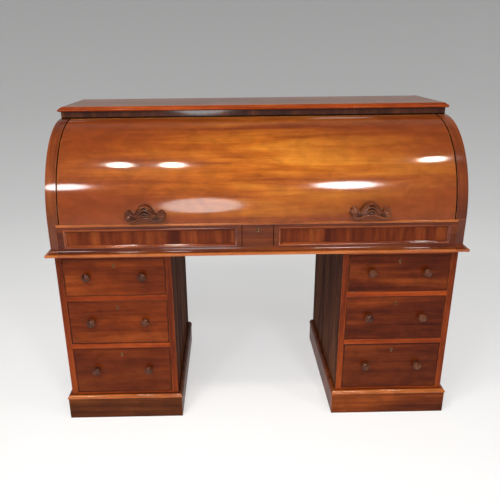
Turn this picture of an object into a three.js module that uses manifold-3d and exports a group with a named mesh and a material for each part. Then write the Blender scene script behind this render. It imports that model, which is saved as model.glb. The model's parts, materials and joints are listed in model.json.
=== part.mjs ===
// Victorian mahogany cylinder desk: two pedestals of drawers carry a case that is closed by
// a curved fall. Behind the fall are a sliding writing surface and a fitted stationery case.
// Millimetres, +Z up. X runs along the front, and the front faces -Y.
// Positions below count Y from the pedestals' front plane; the whole desk is centred at the end.

import * as THREE from 'three';
import { mergeVertices } from 'three/addons/utils/BufferGeometryUtils.js';
import Module from 'manifold-3d';

const wasm = await Module();
wasm.setup();

// ---------------------------------------------------------------- driving dimensions

const gap = 0.3;                      // between pieces that touch
const running = 0.5;                  // between pieces that slide past each other

const deskWidth = 1422;               // over the ends of the upper case, without mouldings
const pedestalWidth = 407;
const sideThickness = 22;
const backThickness = 9;

const plinthHeight = 99;
const plinthProjection = 14;          // fascia, beyond the pedestal
const plinthLip = 3;                  // moulding, beyond the fascia
const plinthMouldHeight = 15;
const plinthLedge = 7;                // what the pedestal stands on, inside the plinth
const plinthSeat = 80;                // height of that ledge

const drawerHeights = [190, 174, 143];  // openings, from the bottom
const railThickness = 19;
const pedestalTopThickness = 21;
const pedestalFloor = 105;            // top of the pedestal's bottom board
const drawerClearance = 1;            // all round a drawer front
const drawerRecess = 1.5;             // front's face behind the rails
const drawerFrontThickness = 20;
const drawerBackRoom = 31.2;          // behind a closed drawer
const drawerSideThickness = 9;
const drawerBottomThickness = 7;

const knobSpacing = 196;
const knobRadius = 16;
const knobProjection = 28.5;
const knobSpigotRadius = 5;
const knobSpigotLength = 17;
const keyholeRadius = 2.6;
const keyholeSlot = 2.8;              // width of the slot below the round part
const keyholeSlotDrop = 9;
const keyholeFromTop = 24;            // below the drawer opening's top

const bedThickness = 20;              // board under the writing slide
const caseProjection = 27.5;          // upper case in front of the pedestals
const endThickness = 26.7;            // end panels
const cheekWidth = 13;                // curved edge facing that stands inside each end panel
const cheekDepth = 34;                // of that facing, measured along the radius
const friezeHeight = 110.5;           // straight end blocks and slide front, above the pedestals
const mouldHeight = 25;               // moulding at the bottom of the upper case
const mouldProjection = 19;

const cylinderRadius = 319.5;         // of the end panels' curve; it sets the desk's depth
const axisDrop = 3;                   // fall's axis below the top of the straight blocks
const fallBackClearance = 1.5;        // between the fall's circle and the back panel
const fallInset = 0.7;                // the fall's surface inside the end panels' curve
const fallThickness = 14;
const fallTopAngle = 88.2;            // degrees above the horizontal

const neckHeight = 23.7;              // frieze between the case and the top board
const neckInset = 4;                  // its ends, inside the end panels' outer faces
const neckSetback = 10;               // its front face, in front of the fall's axis
const neckThickness = 22;
const topThickness = 17;
const topOverhang = 5;                // beyond the end panels
const topFrontOverhang = 16;          // in front of the frieze below it
const topBackOverhang = 6;

const slideThickness = 21;
const slideDrop = 3.5;                // its top, below the top of the slide's front
const guideWidth = 29.3;              // between the slide's side and the end panel
const slideBackRoom = 73.2;           // behind the closed slide
const slideFrontThickness = 22;
const leatherMargin = 70;
const leatherFrontMargin = 32;
const leatherDepth = 365;
const leatherThickness = 1.4;
const leatherSink = 1.9;              // depth of its recess in the slide
const runnerShelf = 16;               // runner's width under the slide
const runnerDepth = 22;               // runner's height under the slide

const panelMarginX = 21;              // slide front: stile beside the end joint
const lockBlockHalf = 54;
const lockStile = 17;                 // between a panel and the lock block
const panelBottomRail = 0.7;          // above the moulding
const panelTopRail = 16.5;
const panelSink = 7;
const slideKeyholeDrop = 23.5;        // below the slide front's top

const handleSpread = 757;             // between the two handles' centres
const handleLift = 11.5;              // above the top of the slide's front
const handleHalfSpan = 55;            // centre to scroll centre
const handleScrollRadius = 13.5;
const handleHeight = 56;
const handleProjection = 32;          // in front of the fall
const handlePlate = 12;               // thickness in front of the finger pocket

const armThickness = 5;
const armWidth = 20;
const armAngle = 50;                  // degrees above the horizontal, with the fall closed
const armHubRadius = 14;
const armStep = 16;                   // length of the joggle from its flat part to its foot
const armFootWidth = 15;
const armFootThickness = 7;
const armFootSpread = 24;             // degrees of the fall's curve that the foot covers
const axleRadius = 6;
const axleLength = 12;                // in the end panel
const axleClearance = 0.35;

const stationeryMargin = 16.3;        // between the case and each end panel
const stationerySetback = 142;        // its front, in front of the fall's axis
const stationeryDepth = 300;
const stationeryClearance = 3.5;      // inside the sweep of the pivot arms
const stationeryLift = 1.8;           // above the slide, which passes under it
const stationeryWall = 8;
const stationeryPartition = 6;
const pigeonholes = 9;
const trayHeight = 58;                // row of two small drawers and a letter slot
const trayDrawerWidth = 430;
const trayDrawerDepth = 284;
const trayDrawerWall = 6;

// ---------------------------------------------------------------- worked out from them

const halfWidth = deskWidth / 2;
const innerEdge = halfWidth - pedestalWidth;        // pedestal's kneehole face
const pedestalCentre = (halfWidth + innerEdge) / 2;
const openingHalf = pedestalWidth / 2 - sideThickness;
const openingsTop = drawerHeights.reduce(
  (level, height) => level + height + railThickness, pedestalFloor) - railThickness;
const pedestalHeight = openingsTop + pedestalTopThickness;
const friezeTop = pedestalHeight + friezeHeight;
const cylinderAxisHeight = friezeTop - axisDrop;
const endInner = halfWidth - endThickness;
const bedTop = pedestalHeight + gap + bedThickness;
const caseFront = -caseProjection;
const axisDepth = caseFront + cylinderRadius;       // Y of the fall's axis
const backPlane = axisDepth + cylinderRadius + fallBackClearance;
const deskDepth = backPlane + backThickness;
const neckFront = axisDepth - neckSetback;
const caseTop = cylinderAxisHeight + cylinderRadius;
const neckBottom = caseTop + gap;
const topBottom = neckBottom + neckHeight;
const fallRadius = cylinderRadius - fallInset;
const fallInnerRadius = fallRadius - fallThickness;
const fallHalfLength = endInner - cheekWidth - running;
const slideTop = friezeTop - slideDrop;
const slideBottom = slideTop - slideThickness;
const slideHalfWidth = endInner - guideWidth;
const slideFrontBack = caseFront + slideFrontThickness;
const slideFrontHalf = endInner - running;
const stationeryBottom = slideTop + stationeryLift;
const stationeryHalfWidth = endInner - stationeryMargin;
const stationeryFront = axisDepth - stationerySetback;
const runnerTop = stationeryBottom - gap;
const armOuter = cylinderRadius - cheekDepth - 2;   // flat part of an arm, clear of the facings
const armPlane = endInner - 12;                     // inner face of that flat part
const stationeryTop = cylinderAxisHeight + Math.sqrt(
  (armOuter - armStep - stationeryClearance) ** 2 - (stationeryDepth - stationerySetback) ** 2);
const handleFront = caseFront + fallInset - handleProjection;
const centreDepth = (handleFront + deskDepth + topBackOverhang) / 2;

const rad = THREE.MathUtils.degToRad;

// ---------------------------------------------------------------- finishes

const finish = (color, roughness, metalness = 0) =>
  new THREE.MeshStandardMaterial({ color, roughness, metalness });

const polishedMahogany = finish(0x7d3414, 0.25);
const flamedMahogany = finish(0xa9571c, 0.2);
const darkMahogany = finish(0x4a2212, 0.35);
const oak = finish(0xa9824f, 0.6);
const greenLeather = finish(0x2f4a33, 0.55);
const brass = finish(0xb08a43, 0.35, 1);
const iron = finish(0x3b3a38, 0.5, 1);

// ---------------------------------------------------------------- geometry helpers

// One closed skin: shared corners merged, collapsed triangles dropped, faces pointing out.
function weld(geometry) {
  const bare = geometry.clone();
  bare.deleteAttribute('normal');
  bare.deleteAttribute('uv');
  const merged = mergeVertices(bare, 1e-4);
  const kept = [];
  for (let i = 0; i < merged.index.count; i += 3) {
    const [a, b, c] = [0, 1, 2].map((k) => merged.index.getX(i + k));
    if (a !== b && b !== c && c !== a) kept.push(a, b, c);
  }
  if (signedVolume(merged.attributes.position, kept) < 0) kept.reverse();
  merged.setIndex(kept);
  return merged;
}

function signedVolume(position, index) {
  const corner = (k) => new THREE.Vector3().fromBufferAttribute(position, k);
  let sum = 0;
  for (let i = 0; i < index.length; i += 3) {
    sum += corner(index[i]).dot(corner(index[i + 1]).cross(corner(index[i + 2])));
  }
  return sum / 6;
}

function toSolid(geometry) {
  const welded = weld(geometry);
  return new wasm.Manifold(new wasm.Mesh({
    numProp: 3,
    vertProperties: new Float32Array(welded.attributes.position.array),
    triVerts: new Uint32Array(welded.index.array),
  }));
}

function toGeometry(solid) {
  const mesh = solid.getMesh();
  const geometry = new THREE.BufferGeometry();
  geometry.setAttribute('position', new THREE.BufferAttribute(mesh.vertProperties, 3));
  geometry.setIndex(Array.from(mesh.triVerts));
  return geometry;
}

const join = (...geometries) =>
  toGeometry(geometries.map(toSolid).reduce((sum, next) => sum.add(next)));

const cut = (geometry, ...tools) =>
  toGeometry(tools.map(toSolid).reduce((left, tool) => left.subtract(tool), toSolid(geometry)));

// Straight-sided board between two opposite corners, given as pairs along X, Y and Z.
function board([xa, xb], [ya, yb], [za, zb]) {
  const box = new THREE.BoxGeometry(Math.abs(xb - xa), Math.abs(yb - ya), Math.abs(zb - za));
  return box.translate((xa + xb) / 2, (ya + yb) / 2, (za + zb) / 2);
}

function extrude(shape, depth, curveSegments = 12) {
  return new THREE.ExtrudeGeometry(shape, { depth, bevelEnabled: false, curveSegments });
}

// Outline drawn in Y and Z, run along X between two values.
function alongX(shape, xa, xb, curveSegments) {
  const turn = new THREE.Matrix4().set(0, 0, 1, Math.min(xa, xb), 1, 0, 0, 0, 0, 1, 0, 0, 0, 0, 0, 1);
  return extrude(shape, Math.abs(xb - xa), curveSegments).applyMatrix4(turn);
}

// Outline drawn in X and Z, run along Y between two values.
function alongY(shape, ya, yb, curveSegments) {
  const turn = new THREE.Matrix4().set(1, 0, 0, 0, 0, 0, -1, Math.max(ya, yb), 0, 1, 0, 0, 0, 0, 0, 1);
  return extrude(shape, Math.abs(yb - ya), curveSegments).applyMatrix4(turn);
}

const outline = (points) => new THREE.Shape(points.map(([a, b]) => new THREE.Vector2(a, b)));

function disc(a, b, radius) {
  return new THREE.Shape().absarc(a, b, radius, 0, 2 * Math.PI);
}

// Profile of [outward offset, height] points, carried past stations that each say where the
// profile's zero line is and which way is outward there. Corners come out mitred.
function mouldingRun(profile, stations) {
  const vertices = [];
  for (const [x, y, outX, outY] of stations) {
    for (const [offset, z] of profile) vertices.push(x + outX * offset, y + outY * offset, z);
  }
  const index = [];
  const n = profile.length;
  for (let s = 0; s + 1 < stations.length; s++) {
    for (let i = 0; i < n; i++) {
      const [a, b] = [s * n + i, s * n + ((i + 1) % n)];
      index.push(a, b, b + n, a, b + n, a + n);
    }
  }
  const contour = profile.map(([offset, z]) => new THREE.Vector2(offset, z));
  const last = (stations.length - 1) * n;
  for (const [a, b, c] of THREE.ShapeUtils.triangulateShape(contour, [])) {
    index.push(a, c, b, last + a, last + b, last + c);
  }
  const geometry = new THREE.BufferGeometry();
  geometry.setAttribute('position', new THREE.Float32BufferAttribute(vertices, 3));
  geometry.setIndex(index);
  return geometry;
}

// Slab whose front and end edges are moulded and whose back is square. Each level is an
// [outward offset, height] pair, from the bottom up.
function mouldedSlab(levels, [xa, xb], [front, back]) {
  const vertices = [];
  for (const [offset, z] of levels) {
    vertices.push(xa - offset, front - offset, z, xb + offset, front - offset, z);
    vertices.push(xb + offset, back, z, xa - offset, back, z);
  }
  const index = [];
  for (let level = 0; level + 1 < levels.length; level++) {
    for (let side = 0; side < 4; side++) {
      const [a, b] = [level * 4 + side, level * 4 + ((side + 1) % 4)];
      index.push(a, b, b + 4, a, b + 4, a + 4);
    }
  }
  const top = (levels.length - 1) * 4;
  index.push(0, 2, 1, 0, 3, 2, top, top + 1, top + 2, top, top + 2, top + 3);
  const geometry = new THREE.BufferGeometry();
  geometry.setAttribute('position', new THREE.Float32BufferAttribute(vertices, 3));
  geometry.setIndex(index);
  return geometry;
}

// Round part of radius and length along X, standing on the fall's axis.
function axleSolid(radius, xa, xb, sides) {
  return alongX(disc(axisDepth, cylinderAxisHeight, radius), xa, xb, sides);
}

// Point on the fall's circle, in Y and Z, at an angle above the horizontal front.
const onCircle = (radius, angle) => [
  axisDepth - radius * Math.cos(rad(angle)),
  cylinderAxisHeight + radius * Math.sin(rad(angle)),
];

// Band between two radii of the fall's circle, between two angles.
function ringSector(outer, inner, from, to, steps) {
  const angles = Array.from({ length: steps + 1 }, (_, i) => from + ((to - from) * i) / steps);
  const outside = angles.map((angle) => onCircle(outer, angle));
  const inside = angles.map((angle) => onCircle(inner, angle)).reverse();
  return outline([...outside, ...inside]);
}

// ---------------------------------------------------------------- pieces

const desk = new THREE.Group();

function place(name, geometry, material, parent = desk) {
  const mesh = new THREE.Mesh(weld(geometry), material);
  mesh.name = name;
  parent.add(mesh);
  return mesh;
}

function keyhole(x, z, front, back) {
  const round = alongY(disc(x, z, keyholeRadius), front - 5, back + 5, 3);
  const slot = board(
    [x - keyholeSlot / 2, x + keyholeSlot / 2], [front - 5, back + 5], [z - keyholeSlotDrop, z]);
  return join(round, slot);
}

// Turned knob standing on a face at the given depth, with its spigot behind that face.
function knob(x, face, z) {
  const neck = knobRadius * 0.44;
  const profile = [
    [0, -knobSpigotLength], [knobSpigotRadius, -knobSpigotLength], [knobSpigotRadius, gap],
    [knobRadius * 0.78, gap], [knobRadius * 0.78, 2.5], [neck + 2, 4.5], [neck, 8],
    [neck + 1, 11.5], [knobRadius * 0.9, 16.5], [knobRadius, 20.5], [knobRadius * 0.88, 24.5],
    [knobRadius * 0.55, knobProjection - 1.2], [0, knobProjection],
  ].map(([radius, height]) => new THREE.Vector2(radius, height));
  return new THREE.LatheGeometry(profile, 12).rotateX(Math.PI).translate(x, face, z);
}

// Profile of the plinth: square fascia, moulded top, and a ledge inside for the pedestal.
function plinthProfile() {
  const fasciaTop = plinthHeight - plinthMouldHeight;
  const lip = plinthProjection + plinthLip;
  return [
    [plinthProjection, 0], [plinthProjection, fasciaTop], [lip, fasciaTop + 2],
    [lip, fasciaTop + 5], [lip * 0.78, fasciaTop + 9], [lip * 0.5, fasciaTop + 12],
    [lip * 0.24, plinthHeight], [gap, plinthHeight],
    [gap, plinthSeat], [-plinthLedge, plinthSeat], [-plinthLedge, 0],
  ];
}

function plinth(side) {
  const [xa, xb] = [pedestalCentre - pedestalWidth / 2, pedestalCentre + pedestalWidth / 2];
  const stations = [[xa, deskDepth, -1, 0], [xa, 0, -1, -1], [xb, 0, 1, -1], [xb, deskDepth, 1, 0]];
  const run = mouldingRun(plinthProfile(), stations);
  const backRail = board(
    [xa - plinthLip, xb + plinthLip], [deskDepth - sideThickness, deskDepth], [0, plinthSeat]);
  return mirrored(join(run, backRail), side);
}

// A piece drawn on the right is mirrored for the left.
function mirrored(geometry, side) {
  return side > 0 ? geometry : geometry.clone().scale(-1, 1, 1);
}

function pedestal(side, label) {
  const centre = side * pedestalCentre;
  const [xa, xb] = [centre - openingHalf + gap, centre + openingHalf - gap];
  const carcaseBase = plinthSeat + gap;
  const depth = [0, deskDepth];
  const outer = [side * (halfWidth - sideThickness), side * halfWidth];
  const inner = [side * innerEdge, side * (innerEdge + sideThickness)];
  const height = [carcaseBase, pedestalHeight];
  const inside = [0, backPlane - gap];
  place(`${label}_outer_side`, board(outer, depth, height), polishedMahogany);
  place(`${label}_inner_side`, board(inner, depth, height), darkMahogany);
  place(`${label}_back`, board([xa, xb], [backPlane, deskDepth], height), oak);
  const bottomBoard = [pedestalFloor - railThickness, pedestalFloor];
  place(`${label}_bottom`, board([xa, xb], inside, bottomBoard), polishedMahogany);
  const openings = drawerOpenings();
  ['lower_divider', 'upper_divider'].forEach((name, i) => {
    const levels = [openings[i].top, openings[i + 1].bottom];
    place(`${label}_${name}`, board([xa, xb], inside, levels), polishedMahogany);
  });
  const topBoard = [openings[openings.length - 1].top, pedestalHeight];
  place(`${label}_top`, board([xa, xb], inside, topBoard), polishedMahogany);
  place(`${label}_plinth`, plinth(side), polishedMahogany);
}

// Bottom and top of each drawer opening, from the floor up.
function drawerOpenings() {
  let level = pedestalFloor;
  return drawerHeights.map((height) => {
    const opening = { bottom: level, top: level + height };
    level = opening.top + railThickness;
    return opening;
  });
}

function drawerFront(centre, { bottom, top }) {
  const half = openingHalf - drawerClearance;
  const [front, back] = [drawerRecess, drawerRecess + drawerFrontThickness];
  const plate = board(
    [centre - half, centre + half], [front, back], [bottom + drawerClearance, top - drawerClearance]);
  const knobHeight = knobLevel({ bottom, top });
  const holes = [-1, 1].map((hand) => {
    const hole = disc(centre + (hand * knobSpacing) / 2, knobHeight, knobSpigotRadius + 0.5);
    return alongY(hole, front - 5, back + 5, 6);
  });
  return cut(plate, keyhole(centre, top - keyholeFromTop, front, back), ...holes);
}

const knobLevel = ({ bottom, top }) => (bottom + top) / 2 + 6;

// Two sides, a back and a bottom in one open-topped tray, behind the drawer front.
function drawerBox(centre, { bottom, top }) {
  const half = openingHalf - drawerClearance - 1;
  const front = drawerRecess + drawerFrontThickness + gap;
  const back = backPlane - drawerBackRoom;
  const [low, high] = [bottom + drawerClearance, top - drawerClearance - 6];
  const block = board([centre - half, centre + half], [front, back], [low, high]);
  const wall = half - drawerSideThickness;
  const hollow = board(
    [centre - wall, centre + wall],
    [front - 5, back - drawerSideThickness], [low + drawerBottomThickness, high + 5]);
  return cut(block, hollow);
}

function drawers(side, label) {
  const centre = side * pedestalCentre;
  const names = ['bottom', 'middle', 'top'];
  drawerOpenings().forEach((opening, i) => {
    const name = `${label}_${names[i]}_drawer`;
    place(`${name}_front`, drawerFront(centre, opening), polishedMahogany);
    place(`${name}_box`, drawerBox(centre, opening), oak);
    [['left', -1], ['right', 1]].forEach(([hand, sign]) => {
      const x = centre + (sign * knobSpacing) / 2;
      place(`${name}_knob_${hand}`, knob(x, drawerRecess, knobLevel(opening)), darkMahogany);
    });
  });
}

// Cavetto moulding that flares out to a square fillet at the bottom of the upper case.
function caseMoulding(embed) {
  const base = pedestalHeight + gap;
  const fillet = 8;
  const rise = mouldHeight - fillet;
  const reach = mouldProjection - 3;
  const sweep = Array.from({ length: 6 }, (_, i) => {
    const angle = (i / 5) * (Math.PI / 2);
    return [reach * (1 - Math.sin(angle)), base + fillet + rise * (1 - Math.cos(angle))];
  });
  return [[-embed, base], [mouldProjection, base], [mouldProjection, base + fillet],
    ...sweep, [-embed, base + mouldHeight]];
}

function endPanel(side) {
  const base = pedestalHeight + gap;
  const steps = 40;
  const curve = Array.from({ length: steps + 1 }, (_, i) =>
    onCircle(cylinderRadius, (90 * i) / steps));
  const slabOutline = outline([[deskDepth, base], [caseFront, base], ...curve, [deskDepth, caseTop]]);
  const slab = alongX(slabOutline, endInner, halfWidth);
  const lift = (Math.asin((friezeTop - cylinderAxisHeight) / cylinderRadius) * 180) / Math.PI;
  const cheekOutline = ringSector(
    cylinderRadius, cylinderRadius - cheekDepth, lift + 0.15, 90, steps);
  const cheek = alongX(cheekOutline, endInner - cheekWidth, endInner + 2);
  const embed = 2;
  const run = mouldingRun(caseMoulding(embed), [
    [endInner, caseFront, 0, -1], [halfWidth, caseFront, 1, -1], [halfWidth, deskDepth, 1, 0]]);
  const axleHole = axleSolid(
    axleRadius + axleClearance, endInner - 1, endInner + axleLength + 1, 6);
  return mirrored(cut(join(slab, cheek, run), axleHole), side);
}

function upperCase() {
  place('end_panel_left', endPanel(-1), polishedMahogany);
  place('end_panel_right', endPanel(1), polishedMahogany);
  const inside = [-endInner + gap, endInner - gap];
  const bedLevels = [pedestalHeight + gap, bedTop];
  place('bed_board', board(inside, [slideFrontBack + running, deskDepth], bedLevels), polishedMahogany);
  place('upper_back_panel',
    board(inside, [backPlane, deskDepth], [bedTop + gap, topBottom - gap]), oak);
  place('top_frieze', topFrieze(), darkMahogany);
  place('top_board', topBoard(), polishedMahogany);
}

// Rail across the front and a return along each end, with mitred corners.
function topFrieze() {
  const half = halfWidth - neckInset;
  const thickness = neckThickness;
  const profile = [[0, neckBottom], [0, topBottom - gap], [-thickness, topBottom - gap],
    [-thickness, neckBottom]];
  return mouldingRun(profile, [
    [-half, deskDepth, -1, 0], [-half, neckFront, -1, -1],
    [half, neckFront, 1, -1], [half, deskDepth, 1, 0]]);
}

function topBoard() {
  const thumb = [[-8, 0], [-3, 1], [-0.8, 3], [0, 5.5], [-0.8, 8], [-3, 10], [-6, 11],
    [-7, 11.4], [-8, 13], [-11, 15.5], [-14, topThickness]];
  const depth = [neckFront - topFrontOverhang, deskDepth + topBackOverhang];
  const levels = thumb.map(([offset, rise]) => [offset, topBottom + rise]);
  const half = halfWidth + topOverhang;
  return mouldedSlab(levels, [-half, half], depth);
}

// ---------------------------------------------------------------- cylinder fall

function fallShell() {
  const bottom = (Math.asin((friezeTop + running - cylinderAxisHeight) / fallRadius) * 180) / Math.PI;
  const band = ringSector(fallRadius, fallInnerRadius, bottom, fallTopAngle, 44);
  return alongX(band, -fallHalfLength, fallHalfLength);
}

// Half of the handle's outline, from the top of its hump to the middle of its lower edge.
function handleHalf() {
  const scroll = Array.from({ length: 11 }, (_, i) => {
    const angle = rad(175 - i * 25);
    return [handleHalfSpan + handleScrollRadius * Math.cos(angle),
      24 + handleScrollRadius * Math.sin(angle)];
  });
  return [[0, handleHeight], [11, handleHeight - 2], [21, handleHeight - 9], [29, 36], [36, 26],
    ...scroll, [44, 2], [34, 8], [23, 14], [12, 18], [0, 19]];
}

function handle(side) {
  const centre = (side * handleSpread) / 2;
  const half = handleHalf();
  const left = half.slice(1, -1).reverse().map(([a, b]) => [-a, b]);
  const whole = [...half, ...left].map(([a, b]) => [centre + a, friezeTop + handleLift + b]);
  const blank = alongY(outline(whole), handleFront, axisDepth - fallRadius * 0.9);
  const pocket = outline([[-36, -8], [36, -8], [28, 15], [15, 25], [0, 29], [-15, 25], [-28, 15]]
    .map(([a, b]) => [centre + a, friezeTop + handleLift + b]));
  const fingerPocket = alongY(pocket, handleFront + handlePlate, axisDepth);
  const seat = alongX(
    ringSector(fallRadius + gap, fallRadius - 60, -8, 30, 20), centre - 90, centre + 90);
  return cut(blank, fingerPocket, seat);
}

// Flat iron arm with its axle in the end panel and its foot screwed inside the fall.
function pivotArm(side) {
  const plate = [armPlane, armPlane + armThickness];
  const footFrom = fallHalfLength - armFootWidth;
  const spoke = (from, to) => {
    const [sin, cos] = [Math.sin(rad(armAngle)), Math.cos(rad(armAngle))];
    const point = (along, across) => [
      axisDepth - along * cos + across * sin, cylinderAxisHeight + along * sin + across * cos];
    const w = armWidth / 2;
    return outline([point(from, -w), point(to, -w), point(to, w), point(from, w)]);
  };
  const foot = ringSector(
    fallInnerRadius - gap, fallInnerRadius - armFootThickness,
    armAngle - armFootSpread / 2, armAngle + armFootSpread / 2, 12);
  return mirrored(join(
    axleSolid(armHubRadius, ...plate, 6),
    axleSolid(axleRadius, armPlane + 1, endInner + axleLength, 6),
    alongX(spoke(0, armOuter), ...plate),
    alongX(spoke(armOuter - armStep, armOuter), footFrom + 4, plate[1]),
    alongX(spoke(armOuter - armStep, fallInnerRadius - 3), footFrom + 4, footFrom + 4 + armThickness),
    alongX(foot, footFrom, fallHalfLength - gap),
  ), side);
}

function cylinderFall() {
  place('cylinder_fall', fallShell(), flamedMahogany);
  place('cylinder_handle_left', handle(-1), darkMahogany);
  place('cylinder_handle_right', handle(1), darkMahogany);
  place('pivot_arm_left', pivotArm(-1), iron);
  place('pivot_arm_right', pivotArm(1), iron);
}

// ---------------------------------------------------------------- writing slide

const lockHalf = 36;
const lockDepth = 13;
const lockHeight = 42;

function slideBoard() {
  const front = slideFrontBack + gap;
  const back = backPlane - slideBackRoom;
  const slab = board([-slideHalfWidth, slideHalfWidth], [front, back], [slideBottom, slideTop]);
  const recess = board(...leatherSpan(0), [slideTop - leatherSink, slideTop + 5]);
  const lockNotch = board(
    [-lockHalf - gap, lockHalf + gap], [front - 5, front + lockDepth + 2 * gap],
    [slideBottom - 5, slideTop + 5]);
  return cut(slab, recess, lockNotch);
}

// X and Y spans of the leather, grown or shrunk by a margin.
function leatherSpan(shrink) {
  const half = slideHalfWidth - leatherMargin - shrink;
  const front = slideFrontBack + gap + leatherFrontMargin;
  return [[-half, half], [front + shrink, front + leatherDepth - shrink]];
}

function slideFront() {
  const half = slideFrontHalf;
  const base = pedestalHeight + gap + mouldHeight;
  const plate = board([-half, half], [caseFront, slideFrontBack], [base - 4, friezeTop]);
  const run = mouldingRun(caseMoulding(slideFrontThickness), [
    [-half, caseFront, 0, -1], [half, caseFront, 0, -1]]);
  const panels = [-1, 1].map((hand) => board(
    [hand * (lockBlockHalf + lockStile), hand * (half - panelMarginX)],
    [caseFront - 5, caseFront + panelSink], [base + panelBottomRail, friezeTop - panelTopRail]));
  const grooves = [-1, 1].map((hand) => board(
    [hand * lockBlockHalf - 1, hand * lockBlockHalf + 1],
    [caseFront - 5, caseFront + 2], [base, friezeTop + 5]));
  return cut(join(plate, run), ...panels, ...grooves,
    keyhole(0, friezeTop - slideKeyholeDrop, caseFront, slideFrontBack));
}

function slideLock() {
  const front = slideFrontBack + gap;
  const [low, high] = [friezeTop - lockHeight - 1, friezeTop - 4];
  const body = board([-lockHalf, lockHalf], [front, front + lockDepth], [low, high]);
  return cut(body, keyhole(0, friezeTop - slideKeyholeDrop, front, front + lockDepth));
}

function slideRunner(side) {
  const [front, back] = [slideFrontBack + running, backPlane - gap];
  const shelf = board(
    [slideHalfWidth - runnerShelf, endInner - gap], [front, back],
    [slideBottom - gap - runnerDepth, slideBottom - gap]);
  const guide = board([slideHalfWidth + running, endInner - gap], [front, back],
    [slideBottom - gap - 2, runnerTop]);
  const reach = armHubRadius + 1.5;
  const hubNotch = board(
    [armPlane - 1.5, endInner + 5], [axisDepth - reach, axisDepth + reach],
    [cylinderAxisHeight - reach, runnerTop + 5]);
  return mirrored(cut(join(shelf, guide), hubNotch), side);
}

function writingSlide() {
  place('writing_slide', slideBoard(), polishedMahogany);
  const leatherBase = slideTop - leatherSink + gap;
  place('writing_leather',
    board(...leatherSpan(gap), [leatherBase, leatherBase + leatherThickness]), greenLeather);
  place('slide_front', slideFront(), darkMahogany);
  place('slide_lock', slideLock(), brass);
  place('slide_runner_left', slideRunner(-1), oak);
  place('slide_runner_right', slideRunner(1), oak);
}

// ---------------------------------------------------------------- stationery case

const stationeryInside = stationeryHalfWidth - stationeryWall;
const trayBottom = stationeryBottom + stationeryWall;
const trayTop = trayBottom + trayHeight;

// Spans of the pigeonholes along X, from the left.
function pigeonholeSpans() {
  const clear = 2 * stationeryInside - (pigeonholes - 1) * stationeryPartition;
  const width = clear / pigeonholes;
  return Array.from({ length: pigeonholes }, (_, i) => {
    const left = -stationeryInside + i * (width + stationeryPartition);
    return [left, left + width];
  });
}

function stationeryCase() {
  const back = stationeryFront + stationeryDepth;
  const block = board([-stationeryHalfWidth, stationeryHalfWidth], [stationeryFront, back],
    [stationeryBottom, stationeryTop]);
  const depth = [stationeryFront - 5, back - stationeryWall];
  const holes = pigeonholeSpans().map((span) =>
    board(span, depth, [trayTop + stationeryPartition, stationeryTop - stationeryWall]));
  const slotHalf = stationeryInside - trayDrawerWidth - stationeryPartition;
  const row = [trayBottom, trayTop];
  const trays = [-1, 1].map((hand) => board(
    [hand * (slotHalf + stationeryPartition), hand * stationeryInside], depth, row));
  return cut(block, ...holes, ...trays, board([-slotHalf, slotHalf], depth, row));
}

function trayDrawer(side) {
  const outer = stationeryInside - running;
  const inner = stationeryInside - trayDrawerWidth + running;
  const front = stationeryFront + 1;
  const [low, high] = [trayBottom + running, trayTop - running];
  const block = board([inner, outer], [front, front + trayDrawerDepth], [low, high]);
  const hollow = board(
    [inner + trayDrawerWall, outer - trayDrawerWall],
    [front + 2 * trayDrawerWall, front + trayDrawerDepth - trayDrawerWall],
    [low + trayDrawerWall, high + 5]);
  return mirrored(cut(block, hollow), side);
}

function stationery() {
  place('stationery_case', stationeryCase(), polishedMahogany);
  place('stationery_drawer_left', trayDrawer(-1), polishedMahogany);
  place('stationery_drawer_right', trayDrawer(1), polishedMahogany);
}

// ---------------------------------------------------------------- the whole desk

[['left', -1], ['right', 1]].forEach(([label, side]) => {
  pedestal(side, `${label}_pedestal`);
  drawers(side, label);
});
upperCase();
cylinderFall();
writingSlide();
stationery();
desk.position.y = -centreDepth;

export default desk;
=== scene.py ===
# %% [markdown]
# # A Victorian cylinder desk, dressed for its portrait
# The joiner's model of the desk arrives finished: every board, hinge line and drawer has its
# real size and place. This lesson dresses it. We round the edges that a plane and a century of
# polishing have rounded, carve the handles, turn the knobs, lay the veneers and light the
# polish. Lengths are in metres. X runs along the front, and the front faces -Y.

# %% load the joiner's model
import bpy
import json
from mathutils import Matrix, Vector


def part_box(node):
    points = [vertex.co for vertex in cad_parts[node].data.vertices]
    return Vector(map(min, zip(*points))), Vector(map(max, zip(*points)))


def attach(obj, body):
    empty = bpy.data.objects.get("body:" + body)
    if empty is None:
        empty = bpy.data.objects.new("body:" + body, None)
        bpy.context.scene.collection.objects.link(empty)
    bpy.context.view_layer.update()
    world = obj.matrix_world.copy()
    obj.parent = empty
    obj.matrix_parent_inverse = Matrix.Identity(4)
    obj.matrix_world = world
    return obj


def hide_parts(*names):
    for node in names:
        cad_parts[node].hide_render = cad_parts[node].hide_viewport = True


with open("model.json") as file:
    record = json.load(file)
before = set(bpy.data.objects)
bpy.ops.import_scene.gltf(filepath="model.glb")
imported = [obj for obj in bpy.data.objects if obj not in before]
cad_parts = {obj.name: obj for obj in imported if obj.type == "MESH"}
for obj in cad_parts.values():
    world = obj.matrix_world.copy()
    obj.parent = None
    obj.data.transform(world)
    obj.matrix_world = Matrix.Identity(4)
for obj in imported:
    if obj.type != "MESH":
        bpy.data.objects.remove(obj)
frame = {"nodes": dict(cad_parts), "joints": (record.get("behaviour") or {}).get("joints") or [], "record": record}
print("pieces in the working model:", len(frame["nodes"]))

# %% the tools of the lesson
import json
import math
import random

import bmesh
import bpy
from mathutils import Matrix, Vector

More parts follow.
